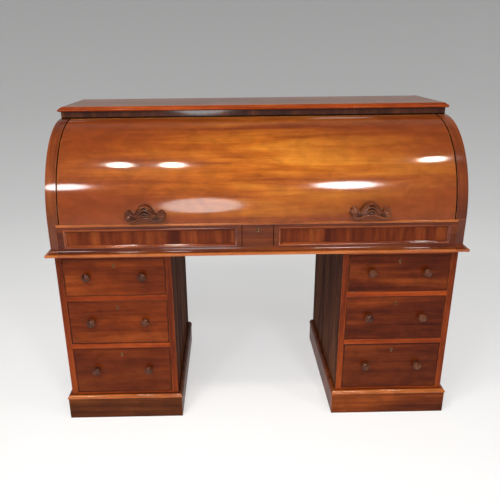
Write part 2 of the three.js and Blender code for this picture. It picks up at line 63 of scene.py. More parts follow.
MM = 0.001
HANDS = (("left", -1), ("right", 1))
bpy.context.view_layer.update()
fall_axis = next(joint for joint in frame["joints"] if joint["name"] == "fall_hinge")["pos_m"]
AXIS_Y, AXIS_Z = fall_axis[1:]

# %% [markdown]
# ## The camera
# A desk this wide is looked at from a little above a standing person's chest, close enough for
# the sides to fan out. A camera could be aimed with a Track To constraint; three turns written
# out as matrices keep the tiny tilt of a hand-held view, and a small lens shift frames it.

# %% camera
EYE = (-0.0965, -2.1943, 1.3273)
YAW, PITCH, ROLL = (math.radians(a) for a in (-0.768, -21.697, -0.629))
SENSOR_WIDTH = 36
FOCAL_SHARE = 1.15124               # focal length as a share of the sensor's width
SHIFT_ACROSS, SHIFT_UP = 0.0251, 0.0571
NEAREST_SEEN = 0.05

camera = bpy.data.objects.new("camera", bpy.data.cameras.new("camera"))
bpy.context.scene.collection.objects.link(camera)
camera.matrix_world = (
    Matrix.Translation(EYE) @ Matrix.Rotation(YAW, 4, "Z")
    @ Matrix.Rotation(math.pi / 2 + PITCH, 4, "X") @ Matrix.Rotation(ROLL, 4, "Z"))
camera.data.sensor_width = SENSOR_WIDTH
camera.data.lens = SENSOR_WIDTH * FOCAL_SHARE
camera.data.shift_x, camera.data.shift_y = SHIFT_ACROSS, SHIFT_UP
camera.data.clip_start = NEAREST_SEEN
bpy.context.scene.camera = camera
print("lens in mm:", round(camera.data.lens, 2))

# %% [markdown]
# ## Writing materials in code
# Every finish here is a node tree. Adding nodes one by one with three lines each soon hides the
# recipe, so one helper adds a node, sets its values and plugs in whatever is a socket. The
# others wrap the three nodes that come up most: a sum, a mix of colours and a colour ramp.

# %% node helper
def add(tree, kind, inputs=None, **settings):
    made = tree.nodes.new(kind)
    for name, value in settings.items():
        setattr(made, name, value)
    for socket, value in (inputs or {}).items():
        if isinstance(value, bpy.types.NodeSocket):
            tree.links.new(value, made.inputs[socket])
        else:
            made.inputs[socket].default_value = value
    return made


def blank_material(name):
    material = bpy.data.materials.new(name)
    material.use_nodes = True
    tree = material.node_tree
    tree.nodes.clear()
    shader = add(tree, "ShaderNodeBsdfPrincipled")
    output = add(tree, "ShaderNodeOutputMaterial")
    tree.links.new(shader.outputs["BSDF"], output.inputs["Surface"])
    return material, tree, shader


def arithmetic(tree, operation, a, b, clamp=False):
    return add(tree, "ShaderNodeMath", {0: a, 1: b}, operation=operation, use_clamp=clamp).outputs[0]


def colour_mix(tree, share, a, b, blend="MIX"):
    mixed = add(tree, "ShaderNodeMix", {"Factor": share, 6: a, 7: b}, data_type="RGBA",
                blend_type=blend)
    return mixed.outputs[2]


def ramp(tree, value, stops):
    made = add(tree, "ShaderNodeValToRGB", {"Fac": value})
    elements = made.color_ramp.elements
    while len(elements) < len(stops):
        elements.new(0.5)
    for element, (place, colour) in zip(elements, stops):
        element.position = place
        element.color = (*colour, 1)
    return made.outputs["Color"]


print("helpers ready: add, blank_material, arithmetic, colour_mix, ramp")


# %% [markdown]
# ## The stage
# The desk stands in a plain photographer's cove: a pale floor that curves up into a wall, so no
# line cuts the picture. A cove is often a bent sheet behind the object; here the sheet is spun
# into a wide bowl, so that the desk can be seen from every side. Its own soft glow fades from
# the floor up the wall, which is easiest as a ramp on the way out from the middle. The cove is
# no part of the desk.

# %% cove
FLOOR_RADIUS, COVE_BEND, WALL_TOP = 3.4, 2.6, 8.0
FLOOR_RINGS = (0.001, 1.2, 2.4)
GLOW_REACH = 10.0                   # metres out and up over which the glow fades
COVE_GLOW = ((0.0, 0.50), (0.12, 0.475), (0.29, 0.40), (0.6, 0.20), (0.8, 0.12), (1.0, 0.05))


def make_cove(sides=96, bends=20):
    profile = [(ring, 0.0) for ring in FLOOR_RINGS]
    for step in range(bends + 1):
        angle = math.radians(90 * step / bends)
        out = FLOOR_RADIUS + COVE_BEND * math.sin(angle)
        profile.append((out, COVE_BEND * (1 - math.cos(angle))))
    profile.append((FLOOR_RADIUS + COVE_BEND, WALL_TOP))
    turns = [2 * math.pi * i / sides for i in range(sides)]
    vertices = [(r * math.cos(a), r * math.sin(a), z) for r, z in profile for a in turns]
    faces = [(row * sides + i, row * sides + (i + 1) % sides, (row + 1) * sides + (i + 1) % sides,
              (row + 1) * sides + i) for row in range(len(profile) - 1) for i in range(sides)]
    mesh = bpy.data.meshes.new("cove")
    mesh.from_pydata(vertices, [], faces)
    mesh.shade_smooth()
    cove = bpy.data.objects.new("cove", mesh)
    bpy.context.scene.collection.objects.link(cove)
    return cove


def paint_cove(cove):
    material, tree, shader = blank_material("cove_paint")
    place = add(tree, "ShaderNodeTexCoord").outputs["Object"]
    split = add(tree, "ShaderNodeSeparateXYZ", {0: place})
    flat = add(tree, "ShaderNodeCombineXYZ", {0: split.outputs["X"], 1: split.outputs["Y"]})
    out = add(tree, "ShaderNodeVectorMath", {0: flat.outputs[0]}, operation="LENGTH").outputs["Value"]
    way = arithmetic(tree, "ADD", out, split.outputs["Z"])
    share_of_way = arithmetic(tree, "MULTIPLY", way, 1 / GLOW_REACH)
    glow = ramp(tree, share_of_way, [(share, (tone, tone, tone)) for share, tone in COVE_GLOW])
    tree.links.new(glow, shader.inputs["Emission Color"])
    shader.inputs["Emission Strength"].default_value = 1.0
    shader.inputs["Base Color"].default_value = (0.5, 0.5, 0.5, 1)
    shader.inputs["Roughness"].default_value = 0.9
    shader.inputs["Specular IOR Level"].default_value = 0.0
    cove.data.materials.append(material)


paint_cove(make_cove())
print("cove, out to the wall:", FLOOR_RADIUS + COVE_BEND)

# %% [markdown]
# ## Light for French polish
# Polish shows itself by what it mirrors. A convex fall squeezes a whole room into a few bands,
# so what it may mirror is chosen: three windows on the wall behind us, which come back as soft
# patches, and three small ceiling lamps, which come back as bright ovals. Area lights do this
# best, because they have a size that can be mirrored. Two broad panels give the body of the
# light and are hidden from reflections, since their haze would grey the wood. A bright sky
# picture round the scene would also give highlights, but not in places of our own choosing.

# %% lights
def panel_light(name, place, aim, size, watts, tint=(1, 1, 1), mirrored=True):
    data = bpy.data.lights.new(name, "AREA")
    data.shape = "ELLIPSE"
    data.size, data.size_y = size
    data.energy = watts
    data.color = tint
    lamp = bpy.data.objects.new(name, data)
    bpy.context.scene.collection.objects.link(lamp)
    lamp.location = place
    lamp.rotation_euler = (Vector(aim) - Vector(place)).to_track_quat("-Z", "Y").to_euler()
    lamp.visible_glossy = mirrored


WARM = (1.0, 0.93, 0.82)
DESK_MIDDLE = (0, -0.2, 0.7)
WINDOW_WALL = -3.1
LAMP_HEIGHT, LAMP_SIZE, LAMP_WATTS = 2.6, (0.15, 0.28), 9
ROOM_COLOUR, ROOM_STRENGTH = (0.8, 0.8, 0.8, 1), 0.12

panel_light("overhead_softbox", (0.0, -0.9, 3.6), (0, 0.3, 0.8), (4.2, 1.6), 16, mirrored=False)
panel_light("front_key", (-1.5, -2.7, 3.5), DESK_MIDDLE, (2.6, 1.6), 50, mirrored=False)
for name, x, z, size, watts in (("window_right", 0.97, 2.68, (0.56, 0.56), 34),
                                ("window_left", -1.62, 2.85, (0.44, 0.5), 20),
                                ("window_low", -0.32, 1.25, (0.66, 1.0), 18)):
    panel_light(name, (x, WINDOW_WALL, z), DESK_MIDDLE, size, watts)
for spot, (x, y) in enumerate(((-0.80, -1.06), (-0.46, -1.1), (1.22, -0.98))):
    panel_light(f"ceiling_lamp_{spot + 1}", (x, y, LAMP_HEIGHT), (x, y, 0), LAMP_SIZE, LAMP_WATTS, WARM)

world = bpy.data.worlds.new("room")
bpy.context.scene.world = world
bpy.context.scene.view_settings.view_transform = "Standard"
world.use_nodes = True
world.node_tree.nodes["Background"].inputs["Color"].default_value = ROOM_COLOUR
world.node_tree.nodes["Background"].inputs["Strength"].default_value = ROOM_STRENGTH

# %% [markdown]
# ## Mahogany
# Mahogany is read at four scales. Slow bands of colour run down a plank; fine streaks follow
# the grain inside them; short dark pores lie along it; and a mottle shimmers across it. Each is
# one noise texture whose space is stretched along the grain, which keeps the wood solid: it
# runs on round corners and down into carving with no seams, where a flat picture would smear.
# Over the colour lies the polish, a clear coat with only a slow ripple, while the wood under it
# keeps its pores. The worn arrises come from a face mark that we set while rounding edges, and the
# dark wax and painted shade in the corners from an ambient occlusion node.

# %% mahogany recipe
GRAIN_ALONG = {"x": (1, 0, 0), "y": (0, 1, 0), "z": (0, 0, 1)}
PLANK_SHIFT = (3.1, 7.7, 5.3)       # metres between the first plank and the last
BAND_SHARE = 0.55                   # of the figure; the fine streaks make up the rest
# how far the dark wax and painted shade reach out of a corner
WAX_AND_SHADE_REACH = 0.012                   # metres out of a corner


def stretched(tree, place, grain, along, across):
    scale = [along if g else across for g in GRAIN_ALONG[grain]]
    return add(tree, "ShaderNodeMapping", {"Vector": place, "Scale": scale}).outputs[0]


def noise(tree, place, detail=4.0, roughness=0.5, distortion=0.0):
    return add(tree, "ShaderNodeTexNoise", {
        "Vector": place, "Scale": 1.0, "Detail": detail, "Roughness": roughness,
        "Distortion": distortion}).outputs[0]


def wood_place(tree):
    """Each piece is cut from its own plank: shift the wood by the object's random number."""
    coordinates = add(tree, "ShaderNodeTexCoord").outputs["Object"]
    luck = add(tree, "ShaderNodeObjectInfo").outputs["Random"]
    shift = add(tree, "ShaderNodeCombineXYZ", {
        i: arithmetic(tree, "MULTIPLY", luck, PLANK_SHIFT[i]) for i in range(3)}).outputs[0]
    return add(tree, "ShaderNodeVectorMath", {0: coordinates, 1: shift}).outputs[0]


def mahogany(name, grain, dark, middle, light, mottle=0.25, streak_scale=60, band_scale=7,
             polish=0.12, gloss=0.04, roughness=0.38, wax_and_shade=0.6, pore_shade=0.55,
             fading_and_shade=None, lay=wood_place):
    material, tree, shader = blank_material(name)
    place = lay(tree)
    bands = noise(tree, stretched(tree, place, grain, 1.1, band_scale), 3, 0.55, 0.9)
    streaks = noise(tree, stretched(tree, place, grain, 2.6, streak_scale), 9, 0.68, 0.35)
    pores = noise(tree, stretched(tree, place, grain, 60, 1500), 2, 0.5)
    shimmer = noise(tree, stretched(tree, place, grain, 17, 26), 2, 0.5, 0.6)
    figure = arithmetic(tree, "ADD", arithmetic(tree, "MULTIPLY", bands, BAND_SHARE),
                        arithmetic(tree, "MULTIPLY", streaks, 1 - BAND_SHARE))
    wood = ramp(tree, figure, [(0.39, dark), (0.5, middle), (0.61, light)])
    if fading_and_shade:
        wood = fading_and_shade(tree, wood)
    shade = add(tree, "ShaderNodeMapRange", {0: shimmer, 1: 0.35, 2: 0.65, 3: 1 - mottle,
                                             4: 1 + mottle}).outputs[0]
    wood = add(tree, "ShaderNodeVectorMath", {0: wood, "Scale": shade}, operation="SCALE").outputs[0]
    pore_mask = add(tree, "ShaderNodeMapRange", {0: pores, 1: 0.3, 2: 0.42, 3: pore_shade, 4: 1.0})
    wood = add(tree, "ShaderNodeVectorMath", {0: wood, "Scale": pore_mask.outputs[0]},
               operation="SCALE").outputs[0]
    wood = worn_waxed_and_shaded(tree, wood, place, light, dark, wax_and_shade)
    tree.links.new(wood, shader.inputs["Base Color"])
    shader.inputs["Roughness"].default_value = roughness
    shader.inputs["Specular IOR Level"].default_value = gloss
    shader.inputs["Coat Weight"].default_value = polish
    shader.inputs["Coat Roughness"].default_value = 0.09
    shader.inputs["Coat IOR"].default_value = 1.5
    grain_bump = add(tree, "ShaderNodeBump", {"Height": pores, "Strength": 0.25, "Distance": 0.0002})
    tree.links.new(grain_bump.outputs[0], shader.inputs["Normal"])
    ripple = noise(tree, stretched(tree, place, grain, 5, 16), 2, 0.4)
    coat_bump = add(tree, "ShaderNodeBump", {"Height": ripple, "Strength": 0.12, "Distance": 0.002})
    tree.links.new(coat_bump.outputs[0], shader.inputs["Coat Normal"])
    return material


def worn_waxed_and_shaded(tree, wood, place, light, dark, wax_and_shade):
    """Rubs the marked arrises lighter, in patches, and darkens the corners by ambient occlusion: old polish
    gathered there, and painted shade.
    """
    arris = add(tree, "ShaderNodeAttribute", attribute_name="arris").outputs["Fac"]
    patches = noise(tree, add(tree, "ShaderNodeMapping", {
        "Vector": place, "Scale": (23, 23, 23)}).outputs[0], 3, 0.6)
    patchy = add(tree, "ShaderNodeMapRange", {0: patches, 1: 0.42, 2: 0.62, 3: 0.1, 4: 0.75})
    wear = arithmetic(tree, "MULTIPLY", arris, patchy.outputs[0])
    rubbed = colour_mix(tree, wear, wood, (*[min(1, c * 1.5) for c in light], 1))
    # Painted shade: corners darken by ambient occlusion, with dark wax gathered there.
    corner = add(tree, "ShaderNodeAmbientOcclusion", {"Distance": WAX_AND_SHADE_REACH}, samples=6)
    wax_and_shade_share = add(tree, "ShaderNodeMapRange", {0: corner.outputs["AO"], 1: 0.25, 2: 0.85, 3: wax_and_shade,
                                           4: 0.0}).outputs[0]
    return colour_mix(tree, wax_and_shade_share, rubbed, (*[c * 0.28 for c in dark], 1))


print("ways for the grain to run:", ", ".join(GRAIN_ALONG))

# %% [markdown]
# The planks differ. The fall's veneer has bleached to gold where the light reaches it and stayed
# red at its ends, and it is darkened above and below its middle height as painted shade; drawer
# fronts are redder and darker; rails and uprights lie in between; the framed panels of the slide
# are cut across, so their stripes stand upright. Two small functions change a wood over the
# desk: one mixes in the fading by the distance from the middle and painted shade by the height,
# the other paints shade on the lower part of a piece, darker towards the bottom. The facings of
# the curved ends have a grain that follows the curve, for which a third lays the wood round the
# hinge's axis.

# %% mahogany finishes
GRAIN_RADIUS = 0.32                 # metres, near that of the fall's face
# The fall is painted lightest at this height and darker above and below it, as painted shade.
LIGHTEST_HEIGHT, HEIGHT_WEIGHT, WANDER = 0.96, 3.2, 0.5
RED_ENDS_AND_SHADE = (0.18, 0.034, 0.007, 1)
LOW_SHADE_COLOUR = (0.055, 0.009, 0.003, 1)


def round_the_hinge(tree):
    """Lays wood round the fall's axis: radius, arc and width instead of X, Y and Z."""
    coordinates = add(tree, "ShaderNodeTexCoord").outputs["Object"]
    arm = add(tree, "ShaderNodeVectorMath", {0: coordinates, 1: tuple(fall_axis)}, operation="SUBTRACT")
    split = add(tree, "ShaderNodeSeparateXYZ", {0: arm.outputs[0]})
    depth, rise = split.outputs["Y"], split.outputs["Z"]
    squares = arithmetic(tree, "ADD", arithmetic(tree, "MULTIPLY", depth, depth),
                         arithmetic(tree, "MULTIPLY", rise, rise))
    radius = add(tree, "ShaderNodeMath", {0: squares}, operation="SQRT").outputs[0]
    angle = arithmetic(tree, "ARCTAN2", rise, depth)
    curve = arithmetic(tree, "MULTIPLY", angle, GRAIN_RADIUS)
    return add(tree, "ShaderNodeCombineXYZ", {0: radius, 1: curve, 2: split.outputs["X"]}).outputs[0]


def gold_fade_and_shade(tree, wood):
    """Keeps the gold of the fading in the middle and reddens it towards the ends, and reddens and darkens it above
    and below one height as painted shade, with a wandering edge.
    """
    place = add(tree, "ShaderNodeTexCoord").outputs["Object"]
    split = add(tree, "ShaderNodeSeparateXYZ", {0: place})
    off_middle = arithmetic(tree, "ABSOLUTE", split.outputs["X"], 0.0)
    wander = noise(tree, add(tree, "ShaderNodeMapping", {
        "Vector": place, "Scale": (2.2, 3.5, 5.0)}).outputs[0], 3, 0.6, 0.8)
    # Painted shade: the veneer darkens and reddens away from its lightest height.
    height = arithmetic(tree, "SUBTRACT", split.outputs["Z"], LIGHTEST_HEIGHT)
    off_height = arithmetic(tree, "ABSOLUTE", height, 0.0)
    weighted = arithmetic(tree, "MULTIPLY", off_height, HEIGHT_WEIGHT)
    off_centre = arithmetic(tree, "ADD", off_middle, weighted)
    reach = arithmetic(tree, "ADD", off_centre, arithmetic(tree, "MULTIPLY", wander, WANDER))
    share = add(tree, "ShaderNodeMapRange", {0: reach, 1: 0.42, 2: 1.12, 3: 0.0, 4: 0.92})
    return colour_mix(tree, share.outputs[0], wood, RED_ENDS_AND_SHADE)


def darker_below(tree, wood, unshaded_above=0.42, darkest_below=0.15):
    """Paints shade on wood below a height, darker down to a second height: above the first it keeps its colour."""
    place = add(tree, "ShaderNodeTexCoord").outputs["Object"]
    height = add(tree, "ShaderNodeSeparateXYZ", {0: place}).outputs["Z"]
    share = add(tree, "ShaderNodeMapRange", {0: height, 1: unshaded_above, 2: darkest_below, 3: 0.0, 4: 0.6})
    return colour_mix(tree, share.outputs[0], wood, LOW_SHADE_COLOUR)


veneer = mahogany("faded_and_shaded_veneer", "x", (0.17, 0.033, 0.005), (0.34, 0.086, 0.008),
                  (0.49, 0.165, 0.016), mottle=0.12, streak_scale=42, band_scale=8, pore_shade=0.72,
                  fading_and_shade=gold_fade_and_shade, polish=0.7)
lipping_wood = mahogany("lipping_wood", "x", (0.30, 0.08, 0.012), (0.42, 0.13, 0.02),
                        (0.52, 0.18, 0.03), mottle=0.1, polish=0.9)
# Both fronts are painted darker lower down, as painted shade.
front_wood = {
    "left": mahogany("left_front_wood", "x", (0.09, 0.013, 0.003), (0.165, 0.027, 0.004),
                     (0.26, 0.052, 0.008), mottle=0.12, streak_scale=40,
                     fading_and_shade=darker_below),
    "right": mahogany("right_front_wood", "x", (0.045, 0.006, 0.002), (0.105, 0.016, 0.003),
                      (0.20, 0.038, 0.006), mottle=0.14, streak_scale=46,
                      fading_and_shade=darker_below)}
upright_wood = mahogany("upright_wood", "z", (0.09, 0.013, 0.003), (0.20, 0.032, 0.006),
                        (0.30, 0.060, 0.010), mottle=0.1)
# A darker, greyer copy of the upright wood for the kneehole's inner sides, as painted shade.
shaded_inner_wood = mahogany("shaded_inner_side_wood", "z", (0.045, 0.016, 0.010), (0.09, 0.033, 0.019),
                      (0.15, 0.060, 0.032), mottle=0.1, polish=0.03, gloss=0.0, roughness=0.5)
rail_wood = mahogany("rail_wood", "x", (0.12, 0.016, 0.003), (0.24, 0.036, 0.006),
                     (0.34, 0.064, 0.011), mottle=0.1)
plinth_wood = {
    "left": mahogany("left_plinth_wood", "x", (0.045, 0.010, 0.003), (0.09, 0.021, 0.005),
                     (0.16, 0.042, 0.010), mottle=0.12),
    "right": mahogany("right_plinth_wood", "x", (0.06, 0.010, 0.003), (0.135, 0.025, 0.004),
                      (0.23, 0.05, 0.008), mottle=0.12)}
slide_wood = mahogany("slide_wood", "x", (0.04, 0.007, 0.003), (0.08, 0.014, 0.004),
                      (0.14, 0.030, 0.006), mottle=0.1, polish=0.45)
moulding_wood = mahogany("moulding_wood", "x", (0.10, 0.016, 0.004), (0.19, 0.036, 0.007),
                         (0.30, 0.070, 0.013), mottle=0.1, polish=1.0,
                         wax_and_shade=0.95)
panel_wood = mahogany("striped_panel_wood", "z", (0.06, 0.009, 0.003), (0.13, 0.022, 0.005),
                      (0.21, 0.045, 0.009), mottle=0.1, streak_scale=34, band_scale=16,
                      wax_and_shade=0.95)
neck_wood = mahogany("neck_wood", "z", (0.035, 0.008, 0.004), (0.07, 0.016, 0.006),
                     (0.12, 0.032, 0.010), mottle=0.1, streak_scale=34, band_scale=16, polish=0.6)
# Lighter wood for lips and edges that catch the light: rubbed wear and painted highlight.
highlit_lip_wood = mahogany("rubbed_and_highlit_lip_wood", "x", (0.20, 0.040, 0.008), (0.33, 0.082, 0.014),
                    (0.46, 0.13, 0.026), mottle=0.1, polish=0.8)
# Dark wood for the cock beads: painted shade for the joint round each front.
shade_dark_bead_wood = mahogany("shade_dark_bead_wood", "x", (0.04, 0.007, 0.003), (0.08, 0.015, 0.004),
                     (0.14, 0.03, 0.007), mottle=0.1)
# Browner, greyer wood for the top's upper face: painted reflection of the grey wall.
top_veneer_with_sheen = mahogany("top_veneer_with_sheen", "x", (0.13, 0.035, 0.012), (0.22, 0.07, 0.022),
                      (0.30, 0.10, 0.035), mottle=0.1, polish=0.5)
carved_wood = mahogany("carved_wood", "x", (0.04, 0.009, 0.003), (0.11, 0.027, 0.008),
                       (0.23, 0.066, 0.020), mottle=0.1, wax_and_shade=1.0, roughness=0.3, polish=0.5,
                       gloss=0.05)
knob_wood = mahogany("knob_wood", "y", (0.03, 0.007, 0.003), (0.08, 0.020, 0.007),
                     (0.15, 0.043, 0.015), mottle=0.1, wax_and_shade=0.9, roughness=0.3, polish=0.5,
                     gloss=0.05)
# The facing's lower part is painted darker, as painted shade.
facing_wood = mahogany("curved_facing_wood", "y", (0.10, 0.018, 0.005), (0.20, 0.044, 0.009),
                       (0.30, 0.080, 0.017), mottle=0.06, lay=round_the_hinge, polish=0.8,
                       fading_and_shade=lambda tree, wood: darker_below(tree, wood, 0.92, 0.79))
# Near-black wood: painted shade for grooves, gaps and shadow lines.
shade_black = mahogany("painted_shade_black", "x", (0.010, 0.004, 0.002), (0.016, 0.006, 0.003),
                     (0.024, 0.009, 0.004), mottle=0.05, polish=0.05, gloss=0.0, roughness=0.6)
print("mahoganies:", len([m for m in bpy.data.materials if "wood" in m.name or "veneer" in m.name]))

# %% [markdown]
# ## Oak, leather, brass and iron
# Linings and backs are oak: pale, dull, with long open pores. The leather has a pebbled skin,
# for which Voronoi cells make the best small plates. Brass, iron and the gilding of the leather
# are metals, so their colour is in the reflection; only age breaks it up.

# %% oak
def oak_finish(name="oak_lining", grain="y"):
    material, tree, shader = blank_material(name)
    place = wood_place(tree)
    streaks = noise(tree, stretched(tree, place, grain, 3, 90), 8, 0.65, 0.3)
    pores = noise(tree, stretched(tree, place, grain, 40, 900), 2, 0.5)
    wood = ramp(tree, streaks, [(0.3, (0.24, 0.125, 0.045)), (0.5, (0.40, 0.225, 0.085)),
                                (0.7, (0.52, 0.32, 0.13))])
    open_pores = add(tree, "ShaderNodeMapRange", {0: pores, 1: 0.34, 2: 0.46, 3: 0.5, 4: 1.0})
    wood = add(tree, "ShaderNodeVectorMath", {0: wood, "Scale": open_pores.outputs[0]},
               operation="SCALE").outputs[0]
    wood = worn_waxed_and_shaded(tree, wood, place, (0.5, 0.36, 0.2), (0.16, 0.09, 0.04), 0.5)
    tree.links.new(wood, shader.inputs["Base Color"])
    shader.inputs["Roughness"].default_value = 0.62
    bump = add(tree, "ShaderNodeBump", {"Height": pores, "Strength": 0.5, "Distance": 0.0003})
    tree.links.new(bump.outputs[0], shader.inputs["Normal"])
    return material


oak = oak_finish()
oak_back = oak_finish("oak_back", "z")
oak_across = oak_finish("oak_across", "x")
print("oaks:", oak.name, oak_back.name, oak_across.name)


# %% leather
def leather_finish():
    material, tree, shader = blank_material("green_leather")
    place = add(tree, "ShaderNodeTexCoord").outputs["Object"]
    plates = add(tree, "ShaderNodeTexVoronoi", {"Vector": place, "Scale": 700.0},
                 feature="DISTANCE_TO_EDGE").outputs["Distance"]
    patches = noise(tree, add(tree, "ShaderNodeMapping", {
        "Vector": place, "Scale": (6, 6, 6)}).outputs[0], 4, 0.6)
    skin = ramp(tree, patches, [(0.3, (0.018, 0.05, 0.028)), (0.7, (0.04, 0.095, 0.05))])
    tree.links.new(skin, shader.inputs["Base Color"])
    shader.inputs["Roughness"].default_value = 0.48
    bump = add(tree, "ShaderNodeBump", {"Height": plates, "Strength": 0.35, "Distance": 0.0004})
    tree.links.new(bump.outputs[0], shader.inputs["Normal"])
    return material


leather = leather_finish()
print("leather:", leather.name)


# %% metals
def metal_finish(name, colour, tarnish, roughness, scale=45.0):
    material, tree, shader = blank_material(name)
    place = add(tree, "ShaderNodeTexCoord").outputs["Object"]
    spots = noise(tree, add(tree, "ShaderNodeMapping", {
        "Vector": place, "Scale": (scale, scale, scale)}).outputs[0], 5, 0.65)
    skin = ramp(tree, spots, [(0.35, tarnish), (0.6, colour)])
    # Darkens the metal in its corners, by ambient occlusion.
    corner = add(tree, "ShaderNodeAmbientOcclusion", {"Distance": 0.004}, samples=6)
    corner_darkening = add(tree, "ShaderNodeMapRange", {0: corner.outputs["AO"], 1: 0.2, 2: 0.9, 3: 0.8, 4: 0.0})
    skin = colour_mix(tree, corner_darkening.outputs[0], skin, (0.02, 0.012, 0.006, 1))
    tree.links.new(skin, shader.inputs["Base Color"])
    shader.inputs["Metallic"].default_value = 1.0
    shader.inputs["Roughness"].default_value = roughness
    bump = add(tree, "ShaderNodeBump", {"Height": spots, "Strength": 0.15, "Distance": 0.0003})
    tree.links.new(bump.outputs[0], shader.inputs["Normal"])
    return material


brass = metal_finish("aged_brass", (0.40, 0.28, 0.12), (0.16, 0.105, 0.05), 0.38)
iron = metal_finish("blackened_iron", (0.10, 0.095, 0.09), (0.05, 0.04, 0.035), 0.5)
gilding = metal_finish("gilding", (0.75, 0.55, 0.2), (0.45, 0.3, 0.1), 0.38, 90.0)
print("materials:", len(bpy.data.materials))

# %% [markdown]
# ## Making solids
# Nearly everything a joiner or turner makes is a loop of points carried somewhere: a board's
# outline pushed straight, a section run along a rail and mitred at its corners, or a section
# spun on a lathe. Three small functions add such skins to a mesh under construction, and
# several skins may share one mesh, as a row of screws does.

# %% skins from loops
def add_loft(mesh, loops, cyclic=False):
    rows = [[mesh.verts.new(p) for p in loop] for loop in loops]
    count = len(loops[0])
    for near, far in zip(rows, rows[1:] + rows[:1] if cyclic else rows[1:]):
        for i in range(count):
            j = (i + 1) % count
            mesh.faces.new((near[i], near[j], far[j], far[i]))
    if not cyclic:
        mesh.faces.new(rows[0][::-1])
        mesh.faces.new(rows[-1])


def add_prism(mesh, outline, travel):
    travel = Vector(travel)
    add_loft(mesh, [[Vector(p) for p in outline], [Vector(p) + travel for p in outline]])


def add_box(mesh, low, high):
    (xa, ya, za), (xb, yb, zb) = low, high
    add_prism(mesh, [(xa, ya, za), (xb, ya, za), (xb, yb, za), (xa, yb, za)], (0, 0, zb - za))


print("skins ready: loft, prism, box")

# %% sections along a path, and turning
def add_run(mesh, path, section, place, closed=False):
    """Runs a section, [out, rise] in mm, along a path in metres and mitres it at the corners."""
    points = [Vector(p) for p in path]
    count = len(points)
    loops = []
    for i, point in enumerate(points):
        ways = []
        if closed or i > 0:
            ways.append((point - points[i - 1]).normalized())
        if closed or i < count - 1:
            ways.append((points[(i + 1) % count] - point).normalized())
        normals = [Vector((way.y, -way.x)) for way in ways]
        first, last = normals[0], normals[-1]
        mitre = (first + last) / (1 + first.dot(last))
        loops.append([place(point.x + mitre.x * out * MM, point.y + mitre.y * out * MM, rise * MM)
                      for out, rise in section])
    add_loft(mesh, loops, closed)


def add_turning(mesh, profile, place, sides=40):
    """Spins [radius, forward] in mm about a line that runs out of the front at a place."""
    x, y, z = place
    turns = [2 * math.pi * i / sides for i in range(sides)]
    add_loft(mesh, [[(x + radius * MM * math.cos(a), y - forward * MM, z + radius * MM * math.sin(a))
                     for a in turns] for radius, forward in profile])


def on_front(y):
    """For runs laid on a front face: across, up and out of the face."""
    return lambda across, up, out: (across, y - out, up)


print("skins ready: run, turning")

# %% [markdown]
# ## Rounded arrises
# No edge on old furniture is sharp. A Bevel modifier would round them too, but here the bevel
# is cut in mesh code, so that each new strip can carry a mark. The finish reads the mark and
# rubs the polish lighter there. The working model's own boards get the same treatment: a copy
# is welded, its flat faces are cleaned of triangles, and its sharp edges are eased. The
# Weighted Normal modifier then keeps wide flats flat in the polish, next to narrow curves.

# %% rounded and dressed
ARRIS = 0.9 * MM
WELD, FLAT_WITHIN = 0.02 * MM, math.radians(0.6)


def ease_edges(mesh, width, segments=2, sharper_than=30):
    mark = mesh.faces.layers.float.get("arris") or mesh.faces.layers.float.new("arris")
    edges = [e for e in mesh.edges if len(e.link_faces) == 2
             and e.calc_face_angle(0) > math.radians(sharper_than)]
    made = bmesh.ops.bevel(mesh, geom=edges, offset=width, segments=segments, profile=0.5,
                           affect="EDGES", clamp_overlap=True)
    for face in made["faces"]:
        face[mark] = 1.0


def finished(name, mesh, finish, body, slot, *nodes, ease=0.0, smooth_angle=38):
    """Turns a mesh into a piece that rides on a body and stands for the plain nodes."""
    bmesh.ops.recalc_face_normals(mesh, faces=mesh.faces)
    if ease:
        ease_edges(mesh, ease)
    data = bpy.data.meshes.new(name)
    mesh.to_mesh(data)
    mesh.free()
    data.shade_smooth()
    data.set_sharp_from_angle(angle=math.radians(smooth_angle))
    piece = bpy.data.objects.new(name, data)
    bpy.context.scene.collection.objects.link(piece)
    data.materials.append(finish)
    piece.modifiers.new("even shading", "WEIGHTED_NORMAL").keep_sharp = True
    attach(piece, body)
    if nodes:
        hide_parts(*nodes)
    return piece


def body_of(node):
    return next(body for body, nodes in frame["record"]["behaviour"]["bodies"].items()
                if node in nodes)


def cleaned(node):
    """A copy of the working model's piece, welded, with whole faces in place of triangles."""
    mesh = bmesh.new()
    mesh.from_mesh(frame["nodes"][node].data)
    bmesh.ops.remove_doubles(mesh, verts=mesh.verts, dist=WELD)
    bmesh.ops.dissolve_limit(mesh, angle_limit=FLAT_WITHIN, verts=mesh.verts, edges=mesh.edges)
    return mesh


def softened(node, finish, slot, ease=ARRIS):
    return finished(node + "_eased", cleaned(node), finish, body_of(node), slot, node, ease=ease)


def refinished(piece, finish, chosen):
    """Gives the faces that pass a test a second finish, as a veneer on one side of a board."""
    piece.data.materials.append(finish)
    for face in piece.data.polygons:
        if chosen(face):
            face.material_index = len(piece.data.materials) - 1


print("arris in mm:", ARRIS / MM)

# %% [markdown]
# ## Carcase boards
# The boards of the two pedestals and of the upper case already have their true shape. They
# need rounded arrises and the right plank, with the grain up the uprights and along the rails.

# %% pedestals
POLISHED, DARK, FLAMED = "polished_mahogany", "dark_mahogany", "flamed_mahogany"
SIDES = ("left", "right")
UPRIGHT_ARRIS = 1.2 * MM

